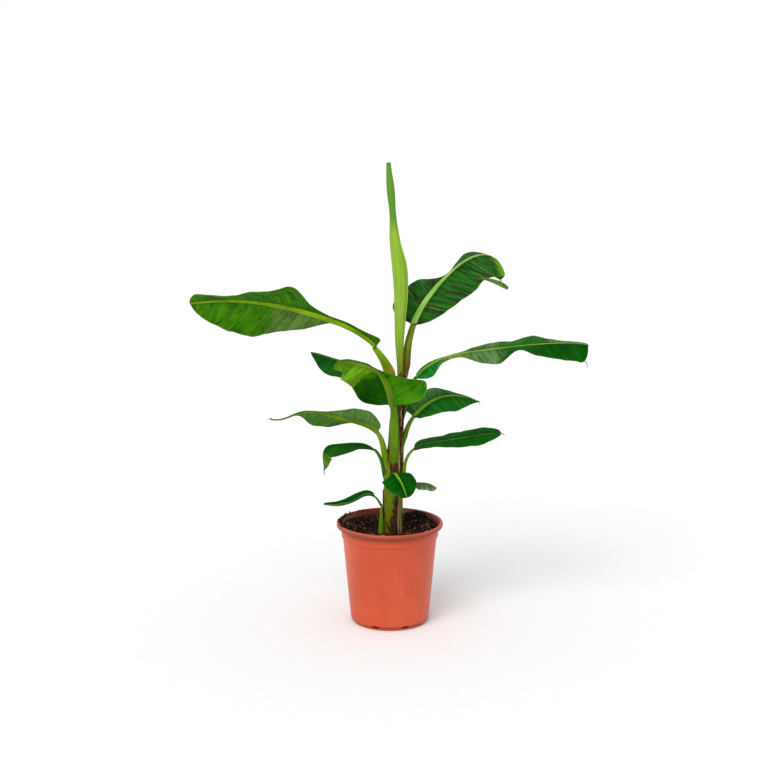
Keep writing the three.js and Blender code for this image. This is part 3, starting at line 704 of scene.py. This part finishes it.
def dry_finish(name="dried tissue", dark=tint(34, 22, 15), light=tint(112, 78, 44)):
    paint = Paint(name)
    fibres = paint.stretched(paint.object_place(), (700, 700, 30), 0.65)
    colour = paint.over(dark, light, fibres, (0.4, 0.0), (0.62, 1.0))
    return paint.surface(Base_Color=colour, Roughness=0.8, Specular_IOR_Level=0.15,
                         Normal=paint.bump(fibres, 0.5))


FACES = {                # deep, light, then what else leaf_finish takes
    "sunlit": dict(deep=tint(24, 82, 2), light=tint(72, 134, 8),
                   zones=[(1, 0.3, 0.56, tint(90, 118, 56), 0.8),
                          (1, 0.62, 1.0, tint(62, 130, 4), 0.5)]),
    "sunlit_top": dict(deep=tint(18, 80, 4), light=tint(58, 118, 12),
                       zones=[(0, 0.0, 0.34, tint(6, 60, 6), 1.1)]),
    "mottled": dict(deep=tint(8, 50, 8), light=tint(38, 104, 24), mottle=(tint(50, 34, 28), 0.53),
                    glints=tint(100, 148, 76), zones=[(0, 0.76, 1.0, tint(84, 148, 8), 1.0)]),
    "curled": dict(deep=tint(50, 116, 10), light=tint(104, 160, 24)),
    # Painted sheen: the grey-green of this face's light tone stands for the waxy face catching light at
    # a grazing angle; the mottle and the zones are the leaf's own colour.
    "twisted_painted_sheen": dict(deep=tint(40, 84, 28), light=tint(104, 140, 82), mottle=(tint(40, 62, 34), 0.54),
                    glints=tint(132, 156, 108),
                    zones=[(0, 0.0, 0.2, tint(8, 112, 34), 1.0), (0, 0.2, 0.32, tint(120, 142, 60), 0.8),
                           (1, 0.52, 1.0, tint(4, 72, 2), 1.2), (-1, 0.5, 0.8, tint(24, 92, 12), 1.0)]),
    # Painted light and shade on the front leaf's under side: the near-black right half by the base is
    # painted shade, the yellow-green right half towards the tip is painted light shining through the
    # blade, and the lighter left half is painted as its lit side.
    "arched_painted_light": dict(deep=tint(22, 94, 2), light=tint(78, 146, 12),
                   zones=[(1, 0.0, 0.42, tint(2, 58, 0), 0.9), (1, 0.55, 1.0, tint(104, 156, 28), 1.0),
                          (-1, 0.45, 1.0, tint(60, 116, 30), 0.8)]),
    "dark": dict(deep=tint(6, 66, 10), light=tint(28, 98, 18)),
    "folded": dict(deep=tint(8, 72, 12), light=tint(34, 100, 24),
                   zones=[(0, 0.74, 1.0, tint(84, 132, 18), 1.0)]),
    "streaked": dict(deep=tint(6, 70, 12), light=tint(38, 118, 28),
                     zones=[(-1, 0.0, 0.5, tint(74, 116, 62), 0.6)]),
    "deep_green": dict(deep=tint(0, 64, 2), light=tint(10, 94, 6)),
    "grey": dict(deep=tint(58, 104, 34), light=tint(106, 144, 74),
                 zones=[(1, 0.2, 0.75, tint(50, 104, 24), 0.7)]),
    "dusty": dict(deep=tint(52, 96, 42), light=tint(108, 142, 86),
                  zones=[(0, 0.45, 1.0, tint(122, 150, 102), 0.8)]),
}
STALKS = {
    "lime": dict(pale=tint(122, 148, 20), green=tint(78, 110, 6)),
    "fork": dict(pale=tint(142, 178, 22), green=tint(98, 140, 8), flush=(tint(164, 98, 40), 1.0)),
    "front": dict(pale=tint(104, 140, 24), green=tint(68, 108, 8), sheath=tint(58, 74, 8)),
    "rib": dict(pale=tint(136, 174, 46), green=tint(96, 146, 24)),
    "pale_rib": dict(pale=tint(154, 192, 96), green=tint(110, 160, 56)),
    "olive": dict(pale=tint(122, 140, 34), green=tint(78, 98, 16), flush=(tint(128, 66, 34), 1.1)),
    "green": dict(pale=tint(74, 126, 30), green=tint(34, 88, 12)),
}
LOOKS = {                # each leaf's upper face, under side, midrib and stalk
    "upper_left": ("sunlit_top", "sunlit", "rib", "fork"),
    "upper_right": ("mottled", "curled", "pale_rib", "olive"),
    "long_right": ("twisted_painted_sheen", "dark", "rib", "green"),
    "front": ("dark", "arched_painted_light", "rib", "front"),
    "back_left": ("dark", "dark", "green", "green"),
    "mid_left": ("sunlit_top", "grey", "rib", "lime"),
    "low_left": ("folded", "sunlit", "green", "green"),
    "mid_right": ("streaked", "grey", "rib", "lime"),
    "low_right": ("deep_green", "deep_green", "green", "lime"),
    "small_front": ("deep_green", "sunlit", "rib", "lime"),
    "small_right": ("dusty", "dusty", "green", "green"),
    "shoot": ("deep_green", "grey", "green", "green"),
}


def build_leaves():
    faces = {name: leaf_finish(f"leaf face {name}", **kind) for name, kind in FACES.items()}
    stalks = {name: stalk_finish(f"leaf stalk {name}", **kind) for name, kind in STALKS.items()}
    dry = dry_finish()
    by_foot = sorted(LEAVES, key=lambda leaf: -leaf.get("foot", 0))
    for order, leaf in enumerate(by_foot):
        upper, under, rib, stalk = LOOKS[leaf["name"]]
        leaf_piece(leaf, order, [faces[upper], faces[under], stalks[rib], stalks[stalk], dry])


# ---------------------------------------------------------------- stem, shoot and spear

def fan(centre, first, sides):
    """Triangles from a point to each side of a ring of points."""
    return [(centre, first + i, first + (i + 1) % sides) for i in range(sides)]


def tube(rings):
    """The points, faces and finish of a closed tube through rings, with a fan over each end."""
    rows, sides = len(rings), len(rings[0])
    ends = [np.mean(rings[0], 0), np.mean(rings[-1], 0)]
    count = rows * sides
    faces = ring_faces(rows, sides) + fan(count, 0, sides) + fan(count + 1, count - sides, sides)
    return np.concatenate([*rings, ends]), faces, 0


def stem_finish():
    paint = Paint("pseudostem")
    place = paint.object_place()
    _, _, height = paint.parts(place)
    fibres = paint.stretched(place, (600, 600, 14))
    patches = paint.stretched(place, (90, 90, 22))
    green = paint.over(tint(70, 82, 14), tint(134, 130, 52), fibres, (0.35, 0.0), (0.7, 1.0))
    low = paint.ramp(height, (0.18, 1.0), (0.5, 0.7))
    brown = paint.ramp(patches, (0.4, 0.0), (0.52, 1.0)) * low
    dark = paint.over(tint(40, 24, 14), tint(112, 74, 38), fibres, (0.5, 0.0), (0.62, 0.8))
    return paint.surface(Base_Color=paint.mix(brown, green, dark), Roughness=fibres * 0.3 + 0.5,
                         Specular_IOR_Level=0.12, Normal=paint.bump(fibres + patches, 0.6))


CORE_INSET = 0.6         # how far the core lies inside the stem's radius
CORE_NARROWING = 0.62    # share of its radius that the core loses at its top
CORE_NARROWS_OVER = 45


def build_stem():
    """The core of the stem, which narrows under the sheaths where the leaves part."""
    turn = full_turn(72)
    rings = []
    for height in np.linspace(STEM_FOOT - SHEATH_DEPTH, STEM_TOP, 151):
        centre, radius = stem_at(height)
        narrowed = float(smoothstep(STEM_TOP - CORE_NARROWS_OVER, STEM_TOP, height))
        radius = radius * (1 - CORE_NARROWING * narrowed)
        groove = 0.18 * np.sin(turn * 11 + height * 0.01) + 0.1 * np.sin(turn * 23)
        rings.append(centre + around(turn, radius - CORE_INSET + groove))
    shape = Shape()
    shape.add(*tube(rings))
    shape.piece("stem", [stem_finish()], ["stem"])


DARK, PALE = range(2)
STRIP_STAND_OFF = 3.2    # how far a strip stands off the stem's core
STRIP_SKIN = 0.5
STRIP_BULGE = 0.7        # how much further off its middle stands than its sides
STRIP_COLUMNS = 7
STRIPS = [               # bearing, lower end, upper end, width, finish
    (276, 284, 324, 8, DARK), (287, 288, 362, 9, DARK), (262, 280, 306, 6, DARK),
    (301, 300, 352, 4, PALE), (328, 384, 434, 11, DARK), (300, 392, 430, 3, PALE),
    (292, 350, 410, 6, DARK), (284, 170, 276, 8, DARK), (304, 170, 272, 5, PALE),
    (318, 172, 254, 4, PALE), (190, 172, 266, 6, DARK), (212, 296, 354, 6, DARK),
    (262, 172, 218, 6, DARK), (60, 196, 304, 10, DARK), (130, 172, 334, 9, DARK),
    (100, 316, 424, 8, DARK), (20, 256, 354, 7, PALE),
]


def build_strips():
    """Narrow strips of dead sheath that cling to the stem, each thin, curved and torn at its ends."""
    rng = random.Random(5)
    shape = Shape()
    turn = np.linspace(-1, 1, STRIP_COLUMNS)
    for bearing, low, high, width, finish in STRIPS:
        rings = []
        tear = [rng.uniform(0.65, 1.15) for _ in range(9)]
        sway = [rng.uniform(-0.5, 0.5) for _ in range(5)]
        for u in np.linspace(0, 1, int((high - low) / 2.5)):
            centre, radius = stem_at(low + (high - low) * u)
            stand = radius + STRIP_STAND_OFF + 1.2 * (2 * u - 1) ** 4
            half = width / 2 / stand * smooth(tear, u) * (1 - (2 * u - 1) ** 2) ** 0.6 + 0.01
            angle = math.radians(bearing) + turn * half + smooth(sway, u) * width / stand * 0.5
            outer = stand + STRIP_BULGE * (1 - turn ** 2)
            inside = centre + around(angle, outer - STRIP_SKIN)
            outside = centre + around(angle, outer)
            rings.append(np.concatenate([inside, outside[::-1]]))
        shape.add(np.concatenate(rings), flat_tube_faces(len(rings), STRIP_COLUMNS), finish)
    shape.piece("dry_sheaths", [
        dry_finish("dark dry sheath", tint(22, 13, 6), tint(84, 52, 20)),
        dry_finish("pale dry sheath", tint(116, 88, 52), tint(182, 156, 108)),
    ])


ROLL_LEAF = "upper_right"
ROLL_AT = 0.57           # share of the blade where its margin starts to roll
ROLL_LENGTH = 60
ROLL_RADIUS = [1.5, 4, 6, 7.6, 8.4, 6]
ROLL_COURSE = np.array([0.94, -0.05, -0.34])


def build_roll():
    """The rolled margin at the drooping tip of a leaf: a flattened, tapering scroll."""
    leaf = next(leaf for leaf in LEAVES if leaf["name"] == ROLL_LEAF)
    rings, _, _, parts = leaf_rows(leaf, 0)
    row = parts.index(UPPER) + int(ROLL_AT * parts.count(UPPER))
    start = rings[row][HALF_RING - 1] - ROLL_COURSE * 12
    side = np.cross(ROLL_COURSE, (0, 0, 1))
    up = np.cross(side, ROLL_COURSE)
    turn = full_turn(24)
    scroll, places, spots = [], [], []
    for u in np.linspace(0, 1, 30):
        radius = smooth(ROLL_RADIUS, u) * (1 - 0.25 * np.linspace(0, 1, len(turn)))
        across = radius[:, None] * (np.cos(turn)[:, None] * side + 0.7 * np.sin(turn)[:, None] * up)
        scroll.append(start + ROLL_COURSE * ROLL_LENGTH * u + up * 4 * math.sin(u * 3) + across)
        places.append(np.stack([turn * 4, np.full(len(turn), u * ROLL_LENGTH), 0 * turn], 1))
        spots.append(np.stack([np.full(len(turn), 0.3), 0 * turn, 0 * turn], 1))
    points, faces, finish = tube(scroll)
    ends = np.zeros((2, 3))
    shape = Shape()
    shape.add(points, faces, finish, np.concatenate([*places, ends]), np.concatenate([*spots, ends]))
    material = leaf_finish("rolled margin", tint(52, 106, 26), tint(128, 168, 72))
    shape.piece("rolled_margin", [material])


THREAD_STEPS = 14
THREADS = {              # dried threads: length, and how far they turn down in degrees
    "upper_right": (14, 60), "long_right": (26, 90), "mid_left": (9, 20),
    "low_left": (16, 30), "mid_right": (10, 70), "low_right": (12, 60),
}
THREAD_OFFSETS = {"long_right": (-13, 0, -29)}    # where one starts, counted from the leaf's tip


def build_threads():
    shape = Shape()
    turn = full_turn(6)
    for leaf in LEAVES:
        if leaf["name"] not in THREADS:
            continue
        length, droop = THREADS[leaf["name"]]
        offset = THREAD_OFFSETS.get(leaf["name"], (0, 0, 0))
        along = leaf_frame(leaf, 1)[0]
        slope = math.asin(along[2])
        level = np.array([along[0], along[1], 0.0]) / math.hypot(along[0], along[1])
        point = midrib_of(leaf)[-1] - along * 2 + offset
        rings = []
        for step in range(THREAD_STEPS):
            share = step / (THREAD_STEPS - 1)
            angle = max(slope - math.radians(droop) * share, -math.pi / 2)
            course = level * math.cos(angle) + np.array([0, 0, math.sin(angle)])
            side = np.array([level[1], -level[0], 0.0])
            up = np.cross(side, course)
            radius = 1.1 * (1 - share) + 0.3
            rings.append(point + radius * (np.cos(turn)[:, None] * side + np.sin(turn)[:, None] * up))
            point = point + course * length / THREAD_STEPS
        shape.add(*tube(rings))
    shape.piece("dry_tips", [dry_finish("dried thread", tint(52, 36, 18), tint(140, 112, 52))])


SHOOT_TOP = 238
SHOOT_AXIS_X = [-17.5, -16.8, -16]
SHOOT_AXIS_Y = [-10, -10.5, -11.5]
SHOOT_RADIUS = [5.8, 5.2, 3.4, 1.6]


def build_shoot(material):
    """The side shoot, a sheath that laps once round itself."""
    foot = STEM_FOOT - SHEATH_DEPTH
    turn = full_turn(40)
    lap = (turn / TAU + 0.1) % 1
    rings = []
    for u in np.linspace(0, 1, 41):
        centre = (smooth(SHOOT_AXIS_X, u), smooth(SHOOT_AXIS_Y, u), foot + (SHOOT_TOP - foot) * u)
        rings.append(centre + around(turn, smooth(SHOOT_RADIUS, u) * (1 - 0.12 * lap)))
    shape = Shape()
    shape.add(*tube(rings))
    shape.piece("side_shoot", [material], ["shoot"])


SPEAR_TOP = 896
SPEAR_LENGTH = 400       # about its length, for the places where its colour changes
SPEAR_AXIS_X = [19.5, 18, 19, 20.3, 17.5, 9, 5, 1.2, -2.6]
SPEAR_RADIUS = [6.2, 8.8, 11.6, 14.3, 15.4, 11, 7.2, 8.2, 4.5]
SPEAR_DEPTH = 0.8
SPEAR_SEAM = [350, 350, 348, 346, 344, 340, 330, 225, 200, 190]


def spear_finish():
    paint = Paint("rolled young leaf")
    across, along, _ = paint.attribute("place")
    share = along / SPEAR_LENGTH
    fibres = paint.grain(across * 0.9, along * 0.012, 0.0, 4.0, 0.6)
    bands = paint.grain(across * 0.14, along * 0.004, 7.0, 2.0)
    specks = paint.grain(across * 0.35, along * 0.12, 3.0, 3.0, 0.7)
    pale = paint.over(tint(126, 166, 36), tint(162, 194, 72), fibres, (0.35, 0.0), (0.65, 1.0))
    colour = paint.over(pale, tint(90, 142, 42), share, (0.68, 0.0), (0.76, 1.0))
    colour = paint.over(colour, tint(104, 148, 30), bands, (0.45, 0.0), (0.6, 0.35))
    colour = paint.over(colour, tint(122, 126, 26), share, (0.02, 0.7), (0.2, 0.0))
    colour = paint.over(colour, tint(92, 110, 30), specks, (0.72, 0.0), (0.76, 0.6))
    return paint.surface(Base_Color=colour, Roughness=fibres * 0.2 + 0.36,
                         Specular_IOR_Level=0.12, Normal=paint.bump(fibres + bands, 0.4))


def build_spear():
    """The rolled leaf: each ring shrinks as it goes round, so the two ends leave a seam."""
    sides = 96
    foot = STEM_TOP - 12
    lap = np.linspace(0, 1, sides)
    rings, places = [], []
    for height in np.linspace(foot, SPEAR_TOP, 201):
        u = (height - STEM_TOP) / (SPEAR_TOP - STEM_TOP)
        turn = math.radians(smooth(SPEAR_SEAM, u)) + lap * TAU
        radius = smooth(SPEAR_RADIUS, u) * (1 - 0.2 * lap)
        x = smooth(SPEAR_AXIS_X, u) + np.cos(turn) * radius
        y = np.sin(turn) * radius * SPEAR_DEPTH
        rings.append(np.stack([x, y, np.full(sides, height)], 1))
        places.append(np.stack([turn * 12, np.full(sides, height - foot), lap], 1))
    points, faces, finish = tube(rings)
    shape = Shape()
    shape.add(points, faces, finish, np.concatenate([np.concatenate(places), np.zeros((2, 3))]))
    shape.piece("spear_leaf", [spear_finish()], ["spear"], crease=40)


# ---------------------------------------------------------------- pot and soil

POT_HEIGHT = 200
POT_RIM_RADIUS = 104
POT_LIP_DEPTH = 9
POT_COLLAR_RADIUS = 94.6
POT_COLLAR_FOOT = 172
POT_SHOULDER_RADIUS = 92
POT_BODY_RADIUS = 76.8
POT_FOOT_RADIUS = 72
POT_FOOT_HEIGHT = 6
POT_WALL = 2.2
POT_FLOOR = 3
DRAIN_SLOTS = 8
DRAIN_HEIGHTS = (4, 9)   # the slots' lower and upper edge
SIDES_PER_SLOT = 25
SLOT_SIDES = range(10, 16)
SOIL_LEVEL = 178
SOIL_UNDER_CHIPS = 1.2   # how far the mix lies below the loose crumbs
SOIL_PILES = [           # x, y, spread and height of the heaps against the wall
    (-80, -8, 24, 13), (56, 62, 28, 15), (80, -10, 20, 9), (-50, 60, 24, 6),
]


def pot_finish(name, deep, light, worn):
    """Moulded plastic with faint upright scuffs, and painted shade: a dark band under and along the lip
    and a dark line at the foot.
    """
    paint = Paint(name)
    place = paint.object_place()
    _, _, height = paint.parts(place)
    clouds = paint.noise(place, 9.0, 3.0)
    streaks = paint.stretched(place, (160, 160, 9))
    grain = paint.noise(place, 1400.0, 2.0)
    colour = paint.over(deep, light, clouds, (0.35, 0.0), (0.65, 1.0))
    colour = paint.over(colour, worn, streaks, (0.55, 0.0), (0.75, 0.35))
    # Painted shade in bands by height: under and along the lip, and a line where the body meets the
    # foot.
    lip = paint.ramp(height * 5, (0.9, 0.0), (0.945, 0.6), (0.96, 0.9), (0.985, 0.5), (0.996, 0.15))
    foot = paint.ramp(height * 25, (0.1, 0.1), (0.15, 0.9), (0.19, 0.6), (0.25, 0.0))
    lip_and_foot_shade = (lip + foot) * (clouds * 0.8 + 0.5)
    colour = paint.mix(lip_and_foot_shade.capped(), colour, tint(96, 34, 16))
    return paint.surface(
        Base_Color=colour, Roughness=streaks * 0.2 + 0.3, Specular_IOR_Level=0.4,
        Normal=paint.bump(grain * 0.3 + streaks, 0.12))


def rounded(points, radius, steps=4):
    """A profile whose inner corners are rounded by short arcs."""
    out = [points[0]]
    for before, here, after in zip(points, points[1:], points[2:]):
        here, before, after = map(np.array, (here, before, after))
        back, ahead = before - here, after - here
        cut = min(radius, np.linalg.norm(back) / 2.2, np.linalg.norm(ahead) / 2.2)
        a = here + back / np.linalg.norm(back) * cut
        b = here + ahead / np.linalg.norm(ahead) * cut
        for k in range(steps + 1):
            s = k / steps
            out.append(tuple(a * (1 - s) ** 2 + here * 2 * s * (1 - s) + b * s ** 2))
    out.append(points[-1])
    return out


def with_heights(profile, heights):
    """A profile with a point added wherever it passes one of the heights."""
    out = [profile[0]]
    for (radius, height), (next_radius, next_height) in zip(profile, profile[1:]):
        span = sorted((height, next_height))
        for level in sorted(heights, reverse=next_height < height):
            if span[0] < level < span[1]:
                share = (level - height) / (next_height - height)
                out.append((radius + (next_radius - radius) * share, level))
        out.append((next_radius, next_height))
    return out


def build_pot():
    lip_foot = POT_HEIGHT - POT_LIP_DEPTH
    profile = [
        (0, 0.6), (POT_FOOT_RADIUS - 6, 0.6), (POT_FOOT_RADIUS - 4, 0), (POT_FOOT_RADIUS, 0),
        (POT_FOOT_RADIUS + 0.4, POT_FOOT_HEIGHT - 1.5), (POT_BODY_RADIUS, POT_FOOT_HEIGHT + 1),
        (POT_SHOULDER_RADIUS, POT_COLLAR_FOOT - 1), (POT_COLLAR_RADIUS, POT_COLLAR_FOOT),
        (POT_COLLAR_RADIUS + 0.4, 184), (POT_COLLAR_RADIUS + 0.9, 184.5),
        (POT_COLLAR_RADIUS + 1.4, lip_foot - 0.5), (POT_RIM_RADIUS - 2.5, lip_foot - 0.5),
        (POT_RIM_RADIUS, lip_foot + 1.5), (POT_RIM_RADIUS, POT_HEIGHT - 2),
        (POT_RIM_RADIUS - 2, POT_HEIGHT), (POT_RIM_RADIUS - 5, POT_HEIGHT),
        (POT_COLLAR_RADIUS + 1 - POT_WALL, lip_foot),
        (POT_COLLAR_RADIUS - POT_WALL, POT_COLLAR_FOOT + 2),
        (POT_SHOULDER_RADIUS - POT_WALL, POT_COLLAR_FOOT - 2),
        (POT_BODY_RADIUS - POT_WALL, POT_FOOT_HEIGHT + 1),
        (POT_FOOT_RADIUS - POT_WALL, POT_FLOOR), (0, POT_FLOOR),
    ]
    profile = with_heights(rounded(profile, 1.2), DRAIN_HEIGHTS)
    sides = DRAIN_SLOTS * SIDES_PER_SLOT
    rings = [around(full_turn(sides), radius, height) for radius, height in profile[1:-1]]
    points = np.concatenate([[(0, 0, profile[0][1])], *rings, [(0, 0, profile[-1][1])]])
    heights = [height for _, height in profile[1:-1]]
    low, high, inner_high, inner_low = [
        row for row, height in enumerate(heights) if height in DRAIN_HEIGHTS]
    top = heights.index(max(heights))
    faces, finishes = [], []
    for row in range(len(heights) - 1):
        in_slot_band = low <= row < high or inner_high <= row < inner_low
        for i in range(sides):
            if in_slot_band and i % SIDES_PER_SLOT in SLOT_SIDES:
                continue
            a, b = (1 + row * sides + k % sides for k in (i, i + 1))
            faces.append((a, b, b + sides, a + sides))
            finishes.append(1 if row > top + 4 else 0)
    for slot in range(DRAIN_SLOTS):
        first = slot * SIDES_PER_SLOT + SLOT_SIDES.start
        end = slot * SIDES_PER_SLOT + SLOT_SIDES.stop
        for i in range(first, end):
            for outer, inner in ((low, inner_low), (high, inner_high)):
                a, b = 1 + outer * sides + i, 1 + inner * sides + i
                faces.append((a, a + 1, b + 1, b))
        for i in (first, end):
            rows = [*range(low, high + 1), *range(inner_high, inner_low + 1)]
            faces.append(tuple(1 + row * sides + i for row in rows))
    last = len(points) - 1
    faces += fan(0, 1, sides) + fan(last, last - sides, sides)
    finishes += [0] * (len(faces) - len(finishes))
    shape = Shape()
    shape.add(points, faces, finishes)
    outside = pot_finish(
        "terracotta coloured plastic", tint(194, 70, 34), tint(208, 84, 48), tint(216, 106, 74))
    # Painted shade: the inner wall is the same plastic, coloured darker for the shade inside the pot.
    inside = pot_finish("pot inside with painted shade", tint(84, 30, 18), tint(112, 42, 26), tint(96, 40, 26))
    shape.piece("pot", [outside, inside], ["pot"], crease=35)


def soil_height(x, y):
    reach = math.hypot(x, y)
    heap = float(smoothstep(34, POT_COLLAR_RADIUS - 10, reach))
    lumps = math.sin(x * 0.11 + 1) * math.cos(y * 0.13) + math.sin((x - y) * 0.07)
    side = 1 + 0.5 * (x + y) / (2 * reach + 1)
    piled = sum(high * math.exp(-math.hypot(x - px, y - py) ** 2 / wide ** 2)
                for px, py, wide, high in SOIL_PILES)
    return SOIL_LEVEL + heap * (6 * side + 2.5 * lumps / 2) + piled


def soil_finish(name, dark, light):
    paint = Paint(name)
    grain = paint.noise(paint.object_place(), 700.0, 5.0, 0.7)
    colour = paint.over(dark, light, grain, (0.35, 0.0), (0.7, 1.0))
    return paint.surface(Base_Color=colour, Roughness=0.95, Specular_IOR_Level=0.15,
                         Normal=paint.bump(grain, 0.8))


def build_soil():
    """The mix in the pot, from its flat underside to a rough and heaped top."""
    rng = random.Random(11)
    top_radius = POT_COLLAR_RADIUS - POT_WALL - 0.4
    turn = full_turn(120)
    rings = [around(turn, radius, height) for radius, height in (
        (POT_FOOT_RADIUS - 5, 4), (POT_BODY_RADIUS - POT_WALL - 1, 9),
        (POT_SHOULDER_RADIUS - POT_WALL - 1.2, 167))]
    for share in np.linspace(1, 0.03, 44):
        ring = around(turn, top_radius * share)
        for point in ring:
            grit = rng.uniform(-1.0, 1.0) if share < 0.99 else 0.0
            point[2] = soil_height(point[0], point[1]) - SOIL_UNDER_CHIPS + grit
        rings.append(ring)
    shape = Shape()
    shape.add(*tube(rings))
    peat = soil_finish("peat", tint(10, 6, 4), tint(34, 22, 15))
    shape.piece("potting_mix", [peat], ["soil"], 180)


CHIP_KINDS = [           # how many, smallest and largest size, how flat, finish
    (2300, 1.2, 3.4, 0.7, 0), (900, 1.5, 4.6, 0.4, 1),
    (300, 1.6, 5.4, 0.2, 2), (50, 1.0, 2.4, 0.4, 3),
]
SPILLED = 90             # lumps that lie on the rim, most of them at one side
SPILL_BEARING = 176
SPILL_SPREAD = 24


def build_chips():
    """Loose peat, bark and grit that lie on the mix, each a small uneven lump."""
    rng = random.Random(23)
    ball = bmesh.new()
    bmesh.ops.create_icosphere(ball, subdivisions=1, radius=1)
    corners = np.array([tuple(v.co) for v in ball.verts])
    faces = [tuple(v.index for v in face.verts) for face in ball.faces]
    ball.free()
    shape = Shape()
    reach = POT_COLLAR_RADIUS - POT_WALL - 2

    def add_lump(x, y, z, size, flat, finish):
        sizes = np.array([size * rng.uniform(0.6, 1.5), size * 0.7, size * flat])
        lump = corners * sizes * np.array([[rng.uniform(0.7, 1.2)] for _ in corners])
        lean = Vector((rng.uniform(-1, 1), rng.uniform(-1, 1), rng.uniform(0.2, 1))).normalized()
        spin = lean.rotation_difference(Vector((0, 0, 1))).to_matrix()
        twist = rng.uniform(0, TAU)
        c, s = math.cos(twist), math.sin(twist)
        lump = lump @ np.array([[c, -s, 0], [s, c, 0], [0, 0, 1]]) @ np.array(spin)
        shape.add(lump + (x, y, z), faces, finish)

    for count, small, large, flat, finish in CHIP_KINDS:
        for _ in range(count):
            radius = reach * math.sqrt(rng.random())
            turn = rng.uniform(0, TAU)
            x, y = math.cos(turn) * radius, math.sin(turn) * radius
            z = soil_height(x, y) + rng.uniform(-0.8, 2.2)
            add_lump(x, y, z, rng.uniform(small, large), flat, finish)
    for _ in range(SPILLED):
        turn = math.radians(rng.gauss(SPILL_BEARING, SPILL_SPREAD))
        radius = rng.uniform(POT_RIM_RADIUS - 11, POT_RIM_RADIUS - 2)
        x, y = math.cos(turn) * radius, math.sin(turn) * radius
        z = POT_HEIGHT + rng.uniform(-1.0, 1.5)
        add_lump(x, y, z, rng.uniform(1, 2.8), 0.6, rng.choice((0, 0, 1)))
    finishes = [
        soil_finish("peat crumbs", tint(14, 8, 5), tint(42, 26, 17)),
        soil_finish("bark chips", tint(40, 24, 15), tint(92, 60, 38)),
        soil_finish("pale bark", tint(104, 72, 46), tint(160, 124, 84)),
        soil_finish("grit", tint(150, 122, 104), tint(196, 172, 150)),
    ]
    shape.piece("loose_mix", finishes, (), 180)


# ---------------------------------------------------------------- floor, light and camera

CAMERA_PLACE = (-0.0113, -3.0, 1.062)    # metres
CAMERA_TILT = 11.1
CAMERA_LENS = 74.5
FLOOR_HALF = 30.0        # metres
SKY_LIGHT = 0.75
SUN_ENERGY = 1.6
SUN_ANGLE = 35           # how wide the sun is, which sets how soft its shadows are
SUN_TURNS = (38, -22, 0)


def build_stage():
    floor = bpy.data.meshes.new("floor")
    far = FLOOR_HALF
    floor.from_pydata([(-far, -far, 0), (far, -far, 0), (far, far, 0), (-far, far, 0)], [],
                      [(0, 1, 2, 3)])
    paint = Paint("pale floor")
    grain = paint.noise(paint.object_place(), 40.0, 2.0)
    floor.materials.append(paint.surface(
        Base_Color=paint.mix(grain, (0.9, 0.9, 0.9, 1), (0.93, 0.93, 0.93, 1)), Roughness=0.9,
        Specular_IOR_Level=0.1))
    made = linked("floor", floor)


def build_light():
    world = bpy.data.worlds.new("studio")
    bpy.context.scene.world = world
    world.use_nodes = True
    paint = Paint("studio", world.node_tree)
    white = (1, 1, 1, 1)
    ambient = paint.node("ShaderNodeBackground", None, {"Color": white, "Strength": SKY_LIGHT})
    backdrop = paint.node("ShaderNodeBackground", None, {"Color": white, "Strength": 1.0})
    seen = paint.node("ShaderNodeLightPath", None, None, "Is Camera Ray")
    both = paint.node("ShaderNodeMixShader", None, {0: seen, 1: ambient, 2: backdrop})
    paint.node("ShaderNodeOutputWorld", None, {"Surface": both})
    sun = bpy.data.lights.new("key", "SUN")
    sun.energy = SUN_ENERGY
    sun.angle = math.radians(SUN_ANGLE)
    linked("key", sun).rotation_euler = [math.radians(turn) for turn in SUN_TURNS]


def build_camera():
    camera = bpy.data.cameras.new("camera")
    camera.lens = CAMERA_LENS
    camera.sensor_fit = "HORIZONTAL"
    camera.sensor_width = 36
    made = linked("camera", camera)
    made.location = CAMERA_PLACE
    made.rotation_euler = (math.radians(90 - CAMERA_TILT), 0, 0)
    bpy.context.scene.camera = made
    bpy.context.scene.view_settings.view_transform = "Standard"


build_camera()
build_stage()
build_light()
build_pot()
build_soil()
build_chips()
build_stem()
build_shoot(stalk_finish("shoot sheath", **STALKS["lime"]))
build_spear()
build_leaves()
build_strips()
build_roll()
build_threads()
